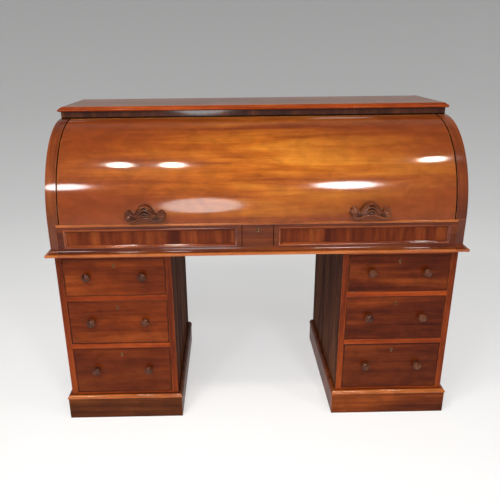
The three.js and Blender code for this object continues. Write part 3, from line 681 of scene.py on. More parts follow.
for side in SIDES:
    pedestal = f"{side}_pedestal"
    softened(f"{pedestal}_outer_side", upright_wood, POLISHED, UPRIGHT_ARRIS)
    # The inner side takes the darker copy as painted shade; its front edge keeps the upright wood.
    inner_side = softened(f"{pedestal}_inner_side", shaded_inner_wood, DARK, UPRIGHT_ARRIS)
    refinished(inner_side, upright_wood, lambda face: face.normal.y < -0.5)
    for part in ("bottom", "lower_divider", "upper_divider", "top"):
        softened(f"{pedestal}_{part}", rail_wood, POLISHED)
    softened(f"slide_runner_{side}", oak, "oak")

# %% [markdown]
# ## Mouldings
# A moulding is planed as one long stick and mitred round corners, so each is one section run
# along a path. The plinth has a plain fascia under a quarter round; the upper case stands on a
# hollow that flares out to a square edge. Curved stretches come from a formula, with enough
# points to stay round close up. Sections are points of [out, rise] in mm.

# %% plinths
def quarter(centre, reach, rise, start, stop, steps=8):
    """Points on an ellipse, [out, rise], from one angle to another in degrees."""
    turns = [math.radians(start + (stop - start) * i / steps) for i in range(steps + 1)]
    return [(centre[0] + reach * math.cos(a), centre[1] + rise * math.sin(a)) for a in turns]


FASCIA, LIP, PLINTH_HEIGHT, PLINTH_SEAT = 14, 17, 99, 79.6
PLINTH_INSIDE, PLINTH_BACK = 7, 22
LIP_BOTTOM, LIP_TOP = 85 * MM, 98 * MM
PLINTH_SECTION = ([(FASCIA, 0), (FASCIA, 84), (FASCIA + 0.8, 84.6), (LIP, 86.4), (LIP, 88.6),
                   (LIP - 1.6, 89.2)]
                  + quarter((3.4, 89.6), 11.4, 9.4, 0, 90)
                  + [(0.4, PLINTH_HEIGHT), (0.4, PLINTH_SEAT), (-PLINTH_INSIDE, PLINTH_SEAT),
                     (-PLINTH_INSIDE, 0)])

for side in SIDES:
    outer_low, outer_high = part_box(f"{side}_pedestal_outer_side")
    inner_low, inner_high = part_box(f"{side}_pedestal_inner_side")
    xa, xb = min(outer_low.x, inner_low.x), max(outer_high.x, inner_high.x)
    front, back = outer_low.y, outer_high.y
    mesh = bmesh.new()
    add_run(mesh, [(xa, back), (xa, front), (xb, front), (xb, back)], PLINTH_SECTION,
            lambda across, along, up: (across, along, up))
    plinth = finished(f"{side}_plinth_run", mesh, plinth_wood[side], "carcase", POLISHED,
                      f"{side}_pedestal_plinth", ease=0.5 * MM)
    # Lip and quarter-round faces that face up or forward get the lighter wood: rubbed wear and painted highlight.
    refinished(plinth, highlit_lip_wood, lambda face: LIP_BOTTOM < face.center.z < LIP_TOP
               and (face.normal.y < -0.2 or face.normal.z > 0.2) and face.center.y < front - 2 * MM)
    mesh = bmesh.new()
    add_box(mesh, (xa + PLINTH_INSIDE * MM, back - PLINTH_BACK * MM, 0),
            (xb - PLINTH_INSIDE * MM, back, PLINTH_SEAT * MM))
    finished(f"{side}_plinth_back_rail", mesh, plinth_wood[side], "carcase", POLISHED, ease=ARRIS)
print("plinth section has", len(PLINTH_SECTION), "points")

# %% [markdown]
# ## End panels
# Each end is a board sawn to a quarter circle. A cheek inside its curved edge thickens it to
# the width of the facing, the strip of curved wood that is laid over both. The facing stops
# short of the fall and leaves a groove painted black as shade, so that the fall's joint reads as
# one even line. The working model has all this in one solid, whose curves are too coarse to
# polish; here each part is an outline of fine arcs pushed straight, and the parts meet along glue
# lines.

# %% end panel sizes
CURVE_RADIUS, FACING, CHEEK_DEPTH = 319.5 * MM, 3 * MM, 34 * MM
DESK_HALF, END_THICKNESS, CHEEK_WIDTH = 711 * MM, 26.7 * MM, 13 * MM
SHADOW_GROOVE, GLUE_LINE = 3.4 * MM, 0.05 * MM
HOLLOW_DROP, MOULD_EDGE = 0.3 * MM, 8.6 * MM
THIN_RADIUS = CURVE_RADIUS - FACING
HOLLOW = ([(-2, 0.3), (19, 0.3), (19, 8.3)] + [(16 - x, 25.3 - z) for x, z in
          quarter((0, 0), 16, 17, 90, 0)] + [(-2, 25.3)])


def on_curve(radius, degrees):
    return (AXIS_Y - radius * math.cos(math.radians(degrees)),
            AXIS_Z + radius * math.sin(math.radians(degrees)))


def arc(radius, start, stop, steps=90):
    return [on_curve(radius, start + (stop - start) * i / steps) for i in range(steps + 1)]


def sector(outer, inner, start, stop):
    return arc(outer, start, stop) + arc(inner, stop, start)


def radius_of(face):
    """How far a face lies from the fall's axis."""
    return math.hypot(face.center.y - AXIS_Y, face.center.z - AXIS_Z)


def pushed(name, outline, xa, xb, finish, *nodes, ease=ARRIS):
    mesh = bmesh.new()
    add_prism(mesh, [(xa, y, z) for y, z in outline], (xb - xa, 0, 0))
    return finished(name, mesh, finish, "carcase", POLISHED, *nodes, ease=ease)


print("radius of the curved facing in mm:", round(CURVE_RADIUS / MM, 1))

# %% end panels
slide_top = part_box("slide_front")[1].z
block_degrees = math.degrees(math.asin((slide_top - AXIS_Z) / CURVE_RADIUS))
for side, flip in HANDS:
    low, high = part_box(f"end_panel_{side}")
    outer_x = flip * DESK_HALF
    inner_x = flip * (DESK_HALF - END_THICKNESS)
    cheek_x = inner_x - flip * CHEEK_WIDTH
    front = AXIS_Y - CURVE_RADIUS
    board = [(high.y, low.z), (front + FACING, low.z)] + arc(THIN_RADIUS, 0, 90)
    board.append((high.y, AXIS_Z + THIN_RADIUS))
    pushed(f"end_panel_{side}_board", board, inner_x, outer_x, upright_wood, f"end_panel_{side}")
    cheek = pushed(f"end_panel_{side}_cheek",
                   sector(THIN_RADIUS, CURVE_RADIUS - CHEEK_DEPTH, block_degrees + 0.1, 90),
                   cheek_x, inner_x, upright_wood, ease=0.5 * MM)
    # The cheek's curved face in the groove is painted black as shade.
    refinished(cheek, shade_black, lambda face: radius_of(face) > THIN_RADIUS - 1 * MM)
    facing = pushed(f"end_panel_{side}_facing",
                    sector(CURVE_RADIUS, THIN_RADIUS + GLUE_LINE, block_degrees + 0.06, 90),
                    cheek_x + flip * SHADOW_GROOVE, outer_x, facing_wood)
    # The facing's face towards the fall is painted black as shade.
    refinished(facing, shade_black, lambda face: face.normal.x * flip < -0.9)
    shoulder = [(y, AXIS_Z + radius) for y, radius in (
        (AXIS_Y, THIN_RADIUS), (AXIS_Y, CURVE_RADIUS), (high.y, CURVE_RADIUS), (high.y, THIN_RADIUS))]
    pushed(f"end_panel_{side}_shoulder", shoulder, inner_x, outer_x, upright_wood, ease=0.3 * MM)
    block = [(front, low.z), (front + FACING - GLUE_LINE, low.z)]
    block += [on_curve(THIN_RADIUS + GLUE_LINE, d) for d in (0, block_degrees)]
    block += [on_curve(CURVE_RADIUS, d) for d in (block_degrees, 0)]
    pushed(f"end_panel_{side}_block_facing", block, inner_x, outer_x, facing_wood)
    mesh = bmesh.new()
    path = [(inner_x, front), (outer_x, front), (outer_x, high.y)]
    add_run(mesh, path if flip > 0 else path[::-1], HOLLOW,
            lambda across, along, up: (across, along, low.z - HOLLOW_DROP + up))
    hollow = finished(f"end_panel_{side}_hollow", mesh, slide_wood, "carcase", DARK, ease=0.5 * MM)
    # The bottom edge of the hollow gets the lighter wood as painted highlight.
    refinished(hollow, highlit_lip_wood, lambda face: face.center.z < low.z + MOULD_EDGE)
print("the straight block ends", round(block_degrees, 2), "degrees up the curve")

# %% [markdown]
# ## Bed, neck and top
# The bed board carries the slide; the neck is a plain frieze that the fall slides under, and
# the top lies on it. They are the working boards with eased edges. The top's upper face gets a
# browner, greyer finish of its own than its edge, a painted reflection of the grey wall it
# mirrors, and a thin strip painted black as shade is laid at the foot of the neck, over the gap
# above the fall.

# %% case boards
LINE_PROUD, LINE_DEPTH, LINE_HEIGHT = 0.3 * MM, 2 * MM, 4 * MM
softened("bed_board", rail_wood, POLISHED)
softened("top_frieze", neck_wood, DARK)
neck_low, neck_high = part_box("top_frieze")
# A thin strip painted black as shade at the foot of the neck.
mesh = bmesh.new()
add_box(mesh, (neck_low.x, neck_low.y - LINE_PROUD, neck_low.z),
        (neck_high.x, neck_low.y + LINE_DEPTH, neck_low.z + LINE_HEIGHT))
finished("neck_foot_line", mesh, shade_black, "carcase", DARK, ease=0.3 * MM)
top_board = softened("top_board", rail_wood, POLISHED, 0.6 * MM)
# The upper face gets the browner, greyer wood as painted reflection.
refinished(top_board, top_veneer_with_sheen, lambda face: face.normal.z > 0.99)

# %% [markdown]
# ## The fall
# The curved fall is coopered from staves and veneered, so its face is one unbroken curve. We
# draw its section finely, far finer than the working model, because a mirror-like polish shows
# every flat. A lipping of plain wood protects the veneer along the top edge.

# %% fall
fall_low, fall_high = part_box("cylinder_fall")
FALL_RADIUS = AXIS_Y - fall_low.y
FALL_THICKNESS = 14 * MM
LIPPING_DEGREES = 2.6
SEAM_DEGREES = 0.04
bottom_angle = math.degrees(math.asin((fall_low.z - AXIS_Z) / FALL_RADIUS))
top_angle = 90 - math.degrees(math.asin((AXIS_Y - fall_high.y) / (FALL_RADIUS - FALL_THICKNESS)))


def curved_board(name, start, stop, steps, *nodes):
    section = arc(FALL_RADIUS, start, stop, steps)
    section += arc(FALL_RADIUS - FALL_THICKNESS, stop, start, steps)
    mesh = bmesh.new()
    add_loft(mesh, [[(x, y, z) for y, z in section] for x in (fall_low.x, fall_high.x)])
    return finished(name, mesh, veneer, "fall", FLAMED, *nodes, ease=ARRIS)


lipping_start = top_angle - LIPPING_DEGREES
curved_board("fall_veneered", bottom_angle, lipping_start - SEAM_DEGREES, 160, "cylinder_fall")
refinished(curved_board("fall_lipping", lipping_start + SEAM_DEGREES, top_angle, 6),
           lipping_wood, lambda face: True)
print("fall radius in mm:", round(FALL_RADIUS / MM, 1), "from", round(bottom_angle, 2), "to",
      round(top_angle, 2), "degrees")

# %% [markdown]
# ## Carved handles
# Two leaf-carved grips lift the fall: a bell-shaped hump of acanthus between two scrolls, with
# a long leaf curling under it. Carving is easiest by adding clay and then fusing it. We start
# from the working handle with its finger pocket, plane its face back, lay rows of small balls
# along the veins, the scrolls and the under-leaf, fuse the lot with a Remesh modifier in voxel
# mode and smooth it a little. Sculpting by hand would do as well, but this can be repeated.
# A stroke of clay is a list of [across, up, out, thickness] in mm, and both halves are alike.

# %% laying the clay
CARVING_DEPTH = 9 * MM
SCROLL_REACH, SCROLL_HEIGHT, SCROLL_RADIUS = 55, 13.5, 13.0


def smooth_point(points, t):
    """A point on the smooth curve through a list of points, t from 0 to 1."""
    spans = len(points) - 1
    i = min(int(t * spans), spans - 1)
    s = t * spans - i
    a, b, c, d = (Vector(points[min(max(i + k, 0), spans)]) for k in (-1, 0, 1, 2))
    return 0.5 * (2 * b + (c - a) * s + (2 * a - 5 * b + 4 * c - d) * s ** 2
                  + (3 * b - a - 3 * c + d) * s ** 3)


def unit_ball():
    ball = bmesh.new()
    bmesh.ops.create_icosphere(ball, subdivisions=2, radius=1.0)
    ball.verts.ensure_lookup_table()
    points = [vertex.co.copy() for vertex in ball.verts]
    triangles = [[vertex.index for vertex in face.verts] for face in ball.faces]
    ball.free()
    return points, triangles


BALL_POINTS, BALL_TRIANGLES = unit_ball()
print("points in a ball of clay:", len(BALL_POINTS))


def lay_clay(mesh, stroke, corner, flip):
    """Lays balls along a stroke, measured from the handle's foot and carving face."""
    steps = 4 * len(stroke) + 10
    for step in range(steps + 1):
        across, up, out, thickness = smooth_point(stroke, step / steps)
        spot = Vector((corner[0] + flip * across * MM, corner[1] - out * MM, corner[2] + up * MM))
        ball = [mesh.verts.new(spot + Vector((x, 1.25 * y, z)) * thickness * MM)
                for x, y, z in BALL_POINTS]
        for triangle in BALL_TRIANGLES:
            mesh.faces.new([ball[i] for i in triangle])


# %% strokes of one half
def leaf_strokes():
    """The right half of the carving: veins from the crest, lobes on the edge, under-leaf."""
    veins = [
        [(0, 52, 1.5, 3.6), (9, 47.5, 2.5, 3.6), (19, 36, 3, 3.2), (29, 25, 3, 2.8), (41, 19, 2, 2.2)],
        [(0, 42, 4, 3.4), (9, 38, 4.5, 3.2), (19, 27.5, 4.5, 2.8), (30, 18.5, 3.5, 2.3),
         (40, 13, 2, 1.8)],
        [(0, 31, 5, 3.2), (8, 28, 5, 2.9), (18, 20.5, 4.5, 2.4), (30, 13.5, 3, 1.8)],
        [(0, 21, 4, 3.0), (10, 19.5, 4, 2.6), (20, 15, 3, 2.0), (30, 10, 1.5, 1.5)]]
    rim = [(across, up, -5, thickness) for across, up, thickness in (
        (0, 52.4, 4.0), (11, 47.4, 4.0), (21, 36, 4.0), (31, 25, 3.6), (42, 19, 3.0))]
    lobes = [[(across, up, 1.5, 3.0), (across * 0.86, up * 0.9, 3.5, 2.2)]
             for across, up in ((13, 45), (22.5, 34.5), (32, 24.5))]
    under_leaf = [(0, 13.5, 3.5, 3.3), (14, 12, 3.5, 3.6), (28, 7.2, 3.5, 3.9), (41, 3.9, 3, 3.6),
                  (53, 3.2, 2, 2.4)]
    return veins + lobes + [rim, under_leaf]


def round_scroll(radius, angle, out, thickness):
    return (SCROLL_REACH + radius * math.cos(angle), SCROLL_HEIGHT + radius * math.sin(angle),
            out, thickness)


def scroll_stroke(turns=1.45, points=19):
    """Winds inwards, rising out of the wood and thinning as it goes."""
    shares = [i / (points - 1) for i in range(points)]
    return [round_scroll((SCROLL_RADIUS - 3.4) * (1 - 0.72 * t),
                         math.radians(150) - 2 * math.pi * turns * t,
                         1.5 + 3.5 * t, 3.3 - 1.2 * t) for t in shares]


def scroll_rim():
    """Rounds the drum that the scroll is carved on."""
    return [round_scroll(9.6, 2 * math.pi * i / 24, -4.5, 4.1) for i in range(25)]


print("clay strokes in one half:", len(leaf_strokes()) + 2)


# %% fusing and smoothing
def fused(piece, voxel, rounds):
    remesh = piece.modifiers.new("fuse", "REMESH")
    remesh.mode, remesh.voxel_size = "VOXEL", voxel
    smooth = piece.modifiers.new("smooth", "SMOOTH")
    smooth.factor, smooth.iterations = 0.5, rounds
    shaped = piece.evaluated_get(bpy.context.evaluated_depsgraph_get())
    data = bpy.data.meshes.new_from_object(shaped)
    piece.modifiers.clear()
    data.materials.clear()
    data.materials.append(piece.data.materials[0])
    data.shade_smooth()
    piece.data = data


VOXEL, SMOOTHING_ROUNDS = 0.8 * MM, 4
for side in SIDES:
    node = f"cylinder_handle_{side}"
    low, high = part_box(node)
    mesh = cleaned(node)
    for vertex in mesh.verts:
        if vertex.co.y < low.y + 0.5 * MM:
            vertex.co.y += CARVING_DEPTH
    bmesh.ops.triangulate(mesh, faces=mesh.faces)
    corner = ((low.x + high.x) / 2, low.y + CARVING_DEPTH, low.z)
    for flip in (-1, 1):
        for stroke in leaf_strokes() + [scroll_rim(), scroll_stroke()]:
            lay_clay(mesh, stroke, corner, flip)
        lay_clay(mesh, [(SCROLL_REACH, SCROLL_HEIGHT, 3.5, 3.4)] * 2, corner, flip)
    handle = finished(f"carved_handle_{side}", mesh, carved_wood, "fall", DARK, node)
    fused(handle, VOXEL, SMOOTHING_ROUNDS)
    print(handle.name, "has", len(handle.data.polygons), "faces")

# %% [markdown]
# ## Drawers
# A drawer front is a solid board, framed by a thin cock bead that keeps its veneer from chipping.
# The bead is a dark wood, painted shade for the joint round the front, and the front is darkened
# round the bead by wax and painted shade. The box behind is oak. Its sides join its ends with
# dovetails, drawn as real tails and pins so that they also show on a drawer pulled out.

# %% drawer front
BOARD_ARRIS, KEYHOLE_DROP = 0.6 * MM, 23 * MM
BEAD = [(0, -0.2), (0, 0.7), (-0.6, 1.2), (-1.8, 1.35), (-3.0, 1.2), (-3.6, 0.6), (-3.6, -0.2)]
KNOB = [(9.6, -0.4), (9.6, 1.4), (8.8, 2.4), (6.9, 3.0), (6.1, 4.6), (6.1, 7.6), (7.2, 9.4), (8.6, 9.9),
        (8.8, 10.8), (11.6, 12.0), (14.4, 14.0), (15.8, 16.6), (16.0, 18.6), (15.3, 21.2), (13.4, 23.4),
        (11.6, 24.3), (11.2, 24.1), (10.6, 24.3), (10.1, 25.1), (8.6, 26.6), (6.2, 27.7), (3.4, 28.3),
        (0.4, 28.5)]


def rectangle(low, high):
    return [(low.x, low.z), (high.x, low.z), (high.x, high.z), (low.x, high.z)]


def keyhole_outline(x, z, radius=2.6, slot=2.8, drop=9.0):
    """A round hole with a slot below it, in metres, counter-clockwise."""
    start = -math.pi / 2 + math.asin(slot / 2 / radius)
    stop = 3 * math.pi / 2 - math.asin(slot / 2 / radius)
    turns = [start + (stop - start) * i / 20 for i in range(21)]
    hole = [(x + radius * MM * math.cos(a), z + radius * MM * math.sin(a)) for a in turns]
    return hole + [(x - slot / 2 * MM, z - drop * MM), (x + slot / 2 * MM, z - drop * MM)]


def escutcheon(name, x, y, z, body):
    mesh = bmesh.new()
    thread = [(0.05, -0.3), (0.05, 0.25), (0.3, 0.4), (0.8, 0.4), (1.05, 0.25), (1.05, -0.3)]
    add_run(mesh, keyhole_outline(x, z), thread, on_front(y), closed=True)
    finished(name, mesh, brass, body, "brass")


def dress_front(drawer):
    low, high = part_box(f"{drawer}_front")
    softened(f"{drawer}_front", front_wood[drawer.split("_")[0]], POLISHED, BOARD_ARRIS)
    mesh = bmesh.new()
    add_run(mesh, rectangle(low, high), BEAD, on_front(low.y), closed=True)
    finished(f"{drawer}_cock_bead", mesh, shade_dark_bead_wood, drawer, POLISHED)
    middle = (low.x + high.x) / 2
    escutcheon(f"{drawer}_escutcheon", middle, low.y, high.z - KEYHOLE_DROP, drawer)
    for end in SIDES:
        node = f"{drawer}_knob_{end}"
        knob_low, knob_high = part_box(node)
        mesh = bmesh.new()
        centre = (knob_low + knob_high) / 2
        add_turning(mesh, KNOB, (centre.x, low.y, centre.z))
        finished(f"{drawer}_turned_knob_{end}", mesh, knob_wood, drawer, DARK, node)


print("knob's widest radius in mm:", max(radius for radius, forward in KNOB))

# %% dovetailed box
WALL, FLOOR = 9 * MM, 7 * MM
PIN_END, TAIL_SLOPE, TAIL_PITCH = 2.4 * MM, 1.6 * MM, 42 * MM
JOINT_HAIR = 0.05 * MM
THIN_ARRIS = 0.3 * MM


def tails(low, high):
    """Each tail's centre, its half width at the end and at the shoulder."""
    count = max(3, round((high.z - low.z) / TAIL_PITCH))
    pitch = (high.z - low.z) / count
    return [(low.z + pitch * (k + 0.5), pitch / 2 - PIN_END, pitch / 2 - PIN_END - TAIL_SLOPE)
            for k in range(count)]


def tailed_edge(end, inwards, low, high):
    """From bottom to top: the outline of a board's end with its tails."""
    shoulder = end + inwards * WALL
    edge = [(shoulder, low.z)]
    for centre, wide, narrow in tails(low, high):
        edge += [(shoulder, centre - narrow), (end, centre - wide), (end, centre + wide),
                 (shoulder, centre + narrow)]
    return edge + [(shoulder, high.z)]


def pins(end, inwards, low, high):
    """The trapezoids between the tails, a hair smaller than their sockets."""
    shoulder = end + inwards * WALL
    rows = tails(low, high)
    starts = [(low.z, low.z)] + [(c + w, c + n) for c, w, n in rows]
    stops = [(c - w, c - n) for c, w, n in rows] + [(high.z, high.z)]
    return [[(end, a + JOINT_HAIR), (shoulder, b + JOINT_HAIR), (shoulder, d - JOINT_HAIR),
             (end, c - JOINT_HAIR)] for (a, b), (c, d) in zip(starts, stops)]


def dress_box(drawer):
    node = f"{drawer}_box"
    low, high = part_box(node)
    sides = bmesh.new()
    ends = bmesh.new()
    for x in (low.x, high.x - WALL):
        outline = tailed_edge(low.y, 1, low, high) + tailed_edge(high.y, -1, low, high)[::-1]
        add_prism(sides, [(x, y, z) for y, z in outline], (WALL, 0, 0))
        for end, inwards in ((low.y, 1), (high.y, -1)):
            for pin in pins(end, inwards, low, high):
                add_prism(ends, [(x, y, z) for y, z in pin], (WALL, 0, 0))
    for y in (low.y, high.y - WALL):
        add_box(ends, (low.x + WALL, y, low.z), (high.x - WALL, y + WALL, high.z))
    add_box(sides, (low.x + WALL, low.y + WALL, low.z), (high.x - WALL, high.y - WALL, low.z + FLOOR))
    finished(f"{drawer}_box_sides", sides, oak, drawer, "oak", node, ease=THIN_ARRIS)
    finished(f"{drawer}_box_ends", ends, oak_across, drawer, "oak", ease=THIN_ARRIS)


print("drawer wall and floor in mm:", WALL / MM, FLOOR / MM)

# %% drawer lock and all six drawers
PLATE_HALF, PLATE_FRONT, PLATE_PROUD = 24 * MM, 8 * MM, 0.25 * MM
BOLT_HALF, BOLT_FRONT, BOLT_BACK, BOLT_PROUD = 7 * MM, 12 * MM, 16 * MM, 0.6 * MM


def dress_lock(drawer):
    """A brass lock let into the top edge of the front, with its bolt just proud."""
    low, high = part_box(f"{drawer}_front")
    middle = (low.x + high.x) / 2
    mesh = bmesh.new()
    add_box(mesh, (middle - PLATE_HALF, low.y + PLATE_FRONT, high.z),
            (middle + PLATE_HALF, high.y, high.z + PLATE_PROUD))
    add_box(mesh, (middle - BOLT_HALF, low.y + BOLT_FRONT, high.z),
            (middle + BOLT_HALF, low.y + BOLT_BACK, high.z + BOLT_PROUD))
    finished(f"{drawer}_lock_plate", mesh, brass, drawer, "brass", ease=0.1 * MM)


for side in SIDES:
    for level in ("bottom", "middle", "top"):
        drawer = f"{side}_{level}_drawer"
        dress_front(drawer)
        dress_box(drawer)
        dress_lock(drawer)

# %% [markdown]
# ## Slide front
# Below the fall runs the front of the writing slide: a frame with two sunk panels, their
# stripes upright, and a block for the lock between them, marked off by two thin strips painted
# black as shadow lines. The frame is the working piece with eased edges, its top and bottom edges
# lighter wood as painted highlight; the panels' faces get the striped veneer, and a moulding with
# a round nose is run round each and mitred.

# %% slide front
front_low, front_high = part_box("slide_front")
FRAME_THICKNESS = 22 * MM
SLIDE_FACE = front_high.y - FRAME_THICKNESS
PANEL_SINK = 7 * MM
PANEL_INNER, PANEL_OUTER = 71 * MM, front_high.x - 21 * MM
PANEL_TOP, PANEL_BOTTOM = front_high.z - 16.5 * MM, front_low.z + 25.7 * MM
SLIDE_KEYHOLE_DROP = 23.5 * MM
BLOCK_HALF, SHADOW_LINE_HALF, SHADOW_LINE_PROUD, SHADOW_LINE_DEPTH = 54 * MM, 1.3 * MM, 0.15 * MM, 1 * MM
SHADOW_LINE_BOTTOM, SHADOW_LINE_TOP = front_low.z + 25.3 * MM, front_high.z - 8 * MM
PANEL_MOULDING = [(0, -6.9), (0, 0.3), (-0.8, 1.4), (-2.6, 1.9), (-4.4, 1.4), (-5.6, 0), (-6.2, -1.8),
                  (-7.6, -3.0), (-9.2, -4.0), (-10.2, -5.4), (-10.4, -6.9)]
COCKED_LIP = [(-0.5, -8), (0.5, -8), (1.4, -7.2), (1.8, -5.6), (1.8, -2.2), (1.4, -0.8),
              (0.5, -0.1), (-0.5, -0.1)]

slide_frame = softened("slide_front", slide_wood, DARK, 0.7 * MM)
refinished(slide_frame, panel_wood, lambda face: face.normal.y < -0.9
           and face.center.y > SLIDE_FACE + PANEL_SINK - 0.5 * MM)
# The frame's top and bottom edges get the lighter wood as painted highlight.
refinished(slide_frame, highlit_lip_wood, lambda face: face.center.z < front_low.z + MOULD_EDGE
           or face.center.z > front_high.z - 0.8 * MM)
# The cocked lip along the top is lighter wood, as painted highlight.
mesh = bmesh.new()
add_run(mesh, [(front_low.x, SLIDE_FACE), (front_high.x, SLIDE_FACE)], COCKED_LIP,
        lambda across, along, up: (across, along, front_high.z + up))
finished("slide_front_lip", mesh, highlit_lip_wood, "slide", DARK, ease=THIN_ARRIS)
# Two thin strips beside the lock block, painted black as shadow lines.
mesh = bmesh.new()
for x in (-BLOCK_HALF, BLOCK_HALF):
    add_box(mesh, (x - SHADOW_LINE_HALF, SLIDE_FACE - SHADOW_LINE_PROUD, SHADOW_LINE_BOTTOM),
            (x + SHADOW_LINE_HALF, SLIDE_FACE + SHADOW_LINE_DEPTH, SHADOW_LINE_TOP))
finished("lock_block_strings", mesh, shade_black, "slide", DARK)
print("slide front from", round(front_low.z, 4), "to", round(front_high.z, 4))

# %% panel mouldings, keyhole and lock
for side, flip in HANDS:
    inner, outer = sorted((flip * PANEL_INNER, flip * PANEL_OUTER))
    corners = [(inner, PANEL_BOTTOM), (outer, PANEL_BOTTOM), (outer, PANEL_TOP), (inner, PANEL_TOP)]
    mesh = bmesh.new()
    add_run(mesh, corners, PANEL_MOULDING, on_front(SLIDE_FACE), closed=True)
    finished(f"slide_panel_moulding_{side}", mesh, moulding_wood, "slide", DARK)
escutcheon("slide_escutcheon", 0, SLIDE_FACE, front_high.z - SLIDE_KEYHOLE_DROP, "slide")
softened("slide_lock", brass, "brass", 0.5 * MM)
print("panel in mm:", round((PANEL_OUTER - PANEL_INNER) / MM, 1), "by",
      round((PANEL_TOP - PANEL_BOTTOM) / MM, 1))

# %% [markdown]
# ## Writing slide
# The slide is a panel with a sunk bed for the leather. The leather is glued down, so it is no
# loose cloth, and its border was pressed with a hot wheel through gold leaf: three lines and a
# row of small lozenges. Each line is a very flat section run round the leather.

# %% slide, leather and tooling
LOZENGE_PITCH, LOZENGE_LONG, LOZENGE_WIDE = 10 * MM, 3.6 * MM, 2.2 * MM
LOZENGE_INSET, LOZENGE_THICK, GOLD_SUNK = 21.5 * MM, 0.14 * MM, 0.05
softened("writing_slide", rail_wood, POLISHED)
softened("writing_leather", leather, "green_leather", THIN_ARRIS)
leather_low, leather_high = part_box("writing_leather")


def on_top(z):
    """For runs laid on a top face: across, along and out of the face."""
    return lambda across, along, out: (across, along, z + out)


def border(inset):
    """The corners of a frame inside the leather's edge, counter-clockwise."""
    left, right = leather_low.x + inset, leather_high.x - inset
    front, back = leather_low.y + inset, leather_high.y - inset
    return [(left, front), (right, front), (right, back), (left, back)]


tooling = bmesh.new()
for inset, width in ((12, 1.4), (15.5, 0.6), (27, 0.6)):
    line = [(0, -GOLD_SUNK), (0, 0.09), (-width, 0.09), (-width, -GOLD_SUNK)]
    add_run(tooling, border(inset * MM), line, on_top(leather_high.z), closed=True)
corners = [Vector((*p, leather_high.z - GOLD_SUNK * MM)) for p in border(LOZENGE_INSET)]
for start, stop in zip(corners, corners[1:] + corners[:1]):
    along = (stop - start).normalized()
    beside = Vector((-along.y, along.x, 0))
    count = round((stop - start).length / LOZENGE_PITCH)
    for k in range(count):
        spot = start + (stop - start) * (k + 0.5) / count
        outline = [spot + along * LOZENGE_LONG, spot + beside * LOZENGE_WIDE,
                   spot - along * LOZENGE_LONG, spot - beside * LOZENGE_WIDE]
        add_prism(tooling, outline, (0, 0, LOZENGE_THICK))
finished("leather_tooling", tooling, gilding, "slide", "brass")
print("leather in mm:", [round(v / MM) for v in (leather_high - leather_low)[:2]])

# %% [markdown]
# ## Stationery case
# Behind the fall stands a fitted case of pigeonholes over two small drawers. An arched valance
# fills the top of each pigeonhole, fretted from thin stuff. The case itself keeps the working
# shape; each valance is one outline, an arch with a small dip at its crown, pushed straight.

# %% case and valances
case_low, case_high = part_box("stationery_case")
softened("stationery_case", rail_wood, POLISHED, 0.7 * MM)
CASE_WALL, PARTITION, HOLES = 8 * MM, 6 * MM, 9
VALANCE_DROP, VALANCE_THICK, VALANCE_SETBACK = 26 * MM, 5 * MM, 3 * MM
hole_width = (case_high.x - case_low.x - 2 * CASE_WALL - (HOLES - 1) * PARTITION) / HOLES


def valance(mesh, left, right, top):
    half = (right - left) / 2
    middle = (left + right) / 2
    outline = [(left, top), (left, top - VALANCE_DROP)]
    for i in range(25):
        t = -1 + i / 12
        arch = 0.74 * math.sqrt(max(0.0, 1 - (t * 0.94) ** 2))
        dip = 0.12 * (1 - abs(t)) ** 3
        outline.append((middle + t * half * 0.93, top - VALANCE_DROP + VALANCE_DROP * (arch - dip)))
    outline += [(right, top - VALANCE_DROP), (right, top)]
    front = case_low.y + VALANCE_SETBACK
    add_prism(mesh, [(x, front, z) for x, z in outline], (0, VALANCE_THICK, 0))


valances = bmesh.new()
for hole in range(HOLES):
    left = case_low.x + CASE_WALL + hole * (hole_width + PARTITION)
    valance(valances, left, left + hole_width, case_high.z - CASE_WALL)
finished("pigeonhole_valances", valances, slide_wood, "carcase", DARK, ease=THIN_ARRIS)
print("pigeonholes in mm:", round(hole_width / MM, 1))

# %% tray drawers
SMALL_KNOB_SHARE = 0.42
SMALL_KNOB = [(radius * SMALL_KNOB_SHARE, forward * SMALL_KNOB_SHARE) for radius, forward in KNOB]
for side in SIDES:
    node = f"stationery_drawer_{side}"
    low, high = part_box(node)
    softened(node, front_wood[side], POLISHED, 0.5 * MM)
    mesh = bmesh.new()
    add_run(mesh, rectangle(low, high), BEAD, on_front(low.y), closed=True)
    finished(f"{node}_cock_bead", mesh, shade_dark_bead_wood, node, POLISHED)
    mesh = bmesh.new()
    for share in (0.25, 0.75):
        x = low.x + share * (high.x - low.x)
        add_turning(mesh, SMALL_KNOB, (x, low.y, (low.z + high.z) / 2), 28)
    finished(f"{node}_turned_knobs", mesh, brass, node, "brass")
print("small knob's radius in mm:", round(max(radius for radius, forward in SMALL_KNOB), 1))

# %% [markdown]
# ## Iron arms and screws
# The fall turns on two flat iron arms at its ends, which keep the working shape with eased
# edges. The backs are held by screws, and screws of the time have a straight slot. Each head is
# two half discs with the slot between them, which is less work than cutting a groove and shows
# the same.

# %% arms and screws
SLOT_SHARE, HEAD_SHARE = 0.13, 0.12             # of the head's radius: half a slot, and its rise
for side in SIDES:
    softened(f"pivot_arm_{side}", iron, "iron", 0.6 * MM)


def add_screw(mesh, place, outward, radius, turn):
    """Adds a screw's head; the turn is how far its slot has come round, in radians."""
    outward = Vector(outward)
    across = Matrix.Rotation(turn, 3, outward) @ outward.orthogonal().normalized()
    beside = outward.cross(across)
    start = math.asin(SLOT_SHARE)
    for flip in (-1, 1):
        turns = [start + (math.pi - 2 * start) * i / 12 for i in range(13)]
        outline = [Vector(place) + radius * math.cos(a) * across + flip * radius * math.sin(a) * beside
                   for a in turns]
        add_prism(mesh, outline, outward * radius * HEAD_SHARE)


print("arms eased, screws ready")

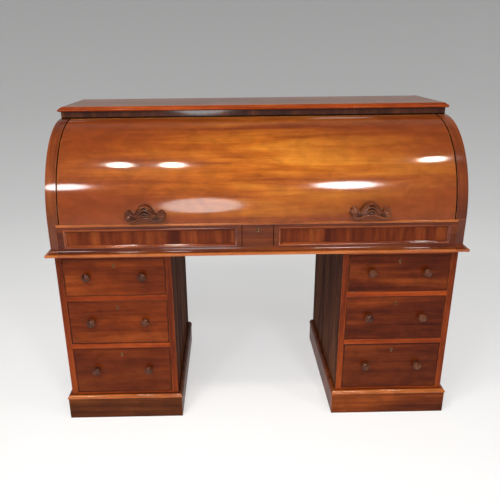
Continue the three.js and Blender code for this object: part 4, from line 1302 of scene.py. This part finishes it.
# %% [markdown]
# ## Backs
# The back is plain: each pedestal is closed by upright boards, screwed on, and the upper case
# by a frame with three sunk panels. Boards beside one another with well eased edges make the
# open joints of the boards, and panels a little thinner than the frame make its sinkings;
# nothing has to be cut.

# %% pedestal backs
luck = random.Random(7)
SCREW_MARGIN, SCREW_RADIUS, BOARD_GAP = 9 * MM, 3.6 * MM, 0.05 * MM


def boarded_back(node, count):
    low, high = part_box(node)
    width = (high.x - low.x) / count
    boards = bmesh.new()
    screws = bmesh.new()
    for k in range(count):
        left = low.x + k * width
        add_box(boards, (left + BOARD_GAP, low.y, low.z), (left + width - BOARD_GAP, high.y, high.z))
        for z in (low.z + SCREW_MARGIN, (low.z + high.z) / 2, high.z - SCREW_MARGIN):
            place = (left + width / 2, high.y, z)
            add_screw(screws, place, (0, 1, 0), SCREW_RADIUS, luck.random() * 3.1)
    finished(f"{node}_boards", boards, oak_back, body_of(node), "oak", node, ease=1.1 * MM)
    finished(f"{node}_screws", screws, iron, body_of(node), "iron")
    return count


print("boards in the pedestal backs:", [boarded_back(f"{side}_pedestal_back", 4) for side in SIDES])

# %% upper back
low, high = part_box("upper_back_panel")
STILE, RAIL_WIDTH, BACK_PANELS, FIELD_SINK = 70 * MM, 62 * MM, 3, 3.5 * MM
frame_mesh = bmesh.new()
add_box(frame_mesh, (low.x, low.y, low.z), (high.x, high.y, low.z + RAIL_WIDTH))
add_box(frame_mesh, (low.x, low.y, high.z - RAIL_WIDTH), (high.x, high.y, high.z))
panel_span = (high.x - low.x - STILE) / BACK_PANELS
fields = bmesh.new()
for k in range(BACK_PANELS + 1):
    left = low.x + k * panel_span
    add_box(frame_mesh, (left, low.y, low.z + RAIL_WIDTH), (left + STILE, high.y, high.z - RAIL_WIDTH))
    if k < BACK_PANELS:
        add_box(fields, (left + STILE, low.y, low.z + RAIL_WIDTH),
                (left + panel_span, high.y - FIELD_SINK, high.z - RAIL_WIDTH))
finished("upper_back_frame", frame_mesh, oak_across, "carcase", "oak", "upper_back_panel", ease=0.8 * MM)
finished("upper_back_fields", fields, oak_back, "carcase", "oak")
print("back panels, width in mm:", round((panel_span - STILE) / MM))
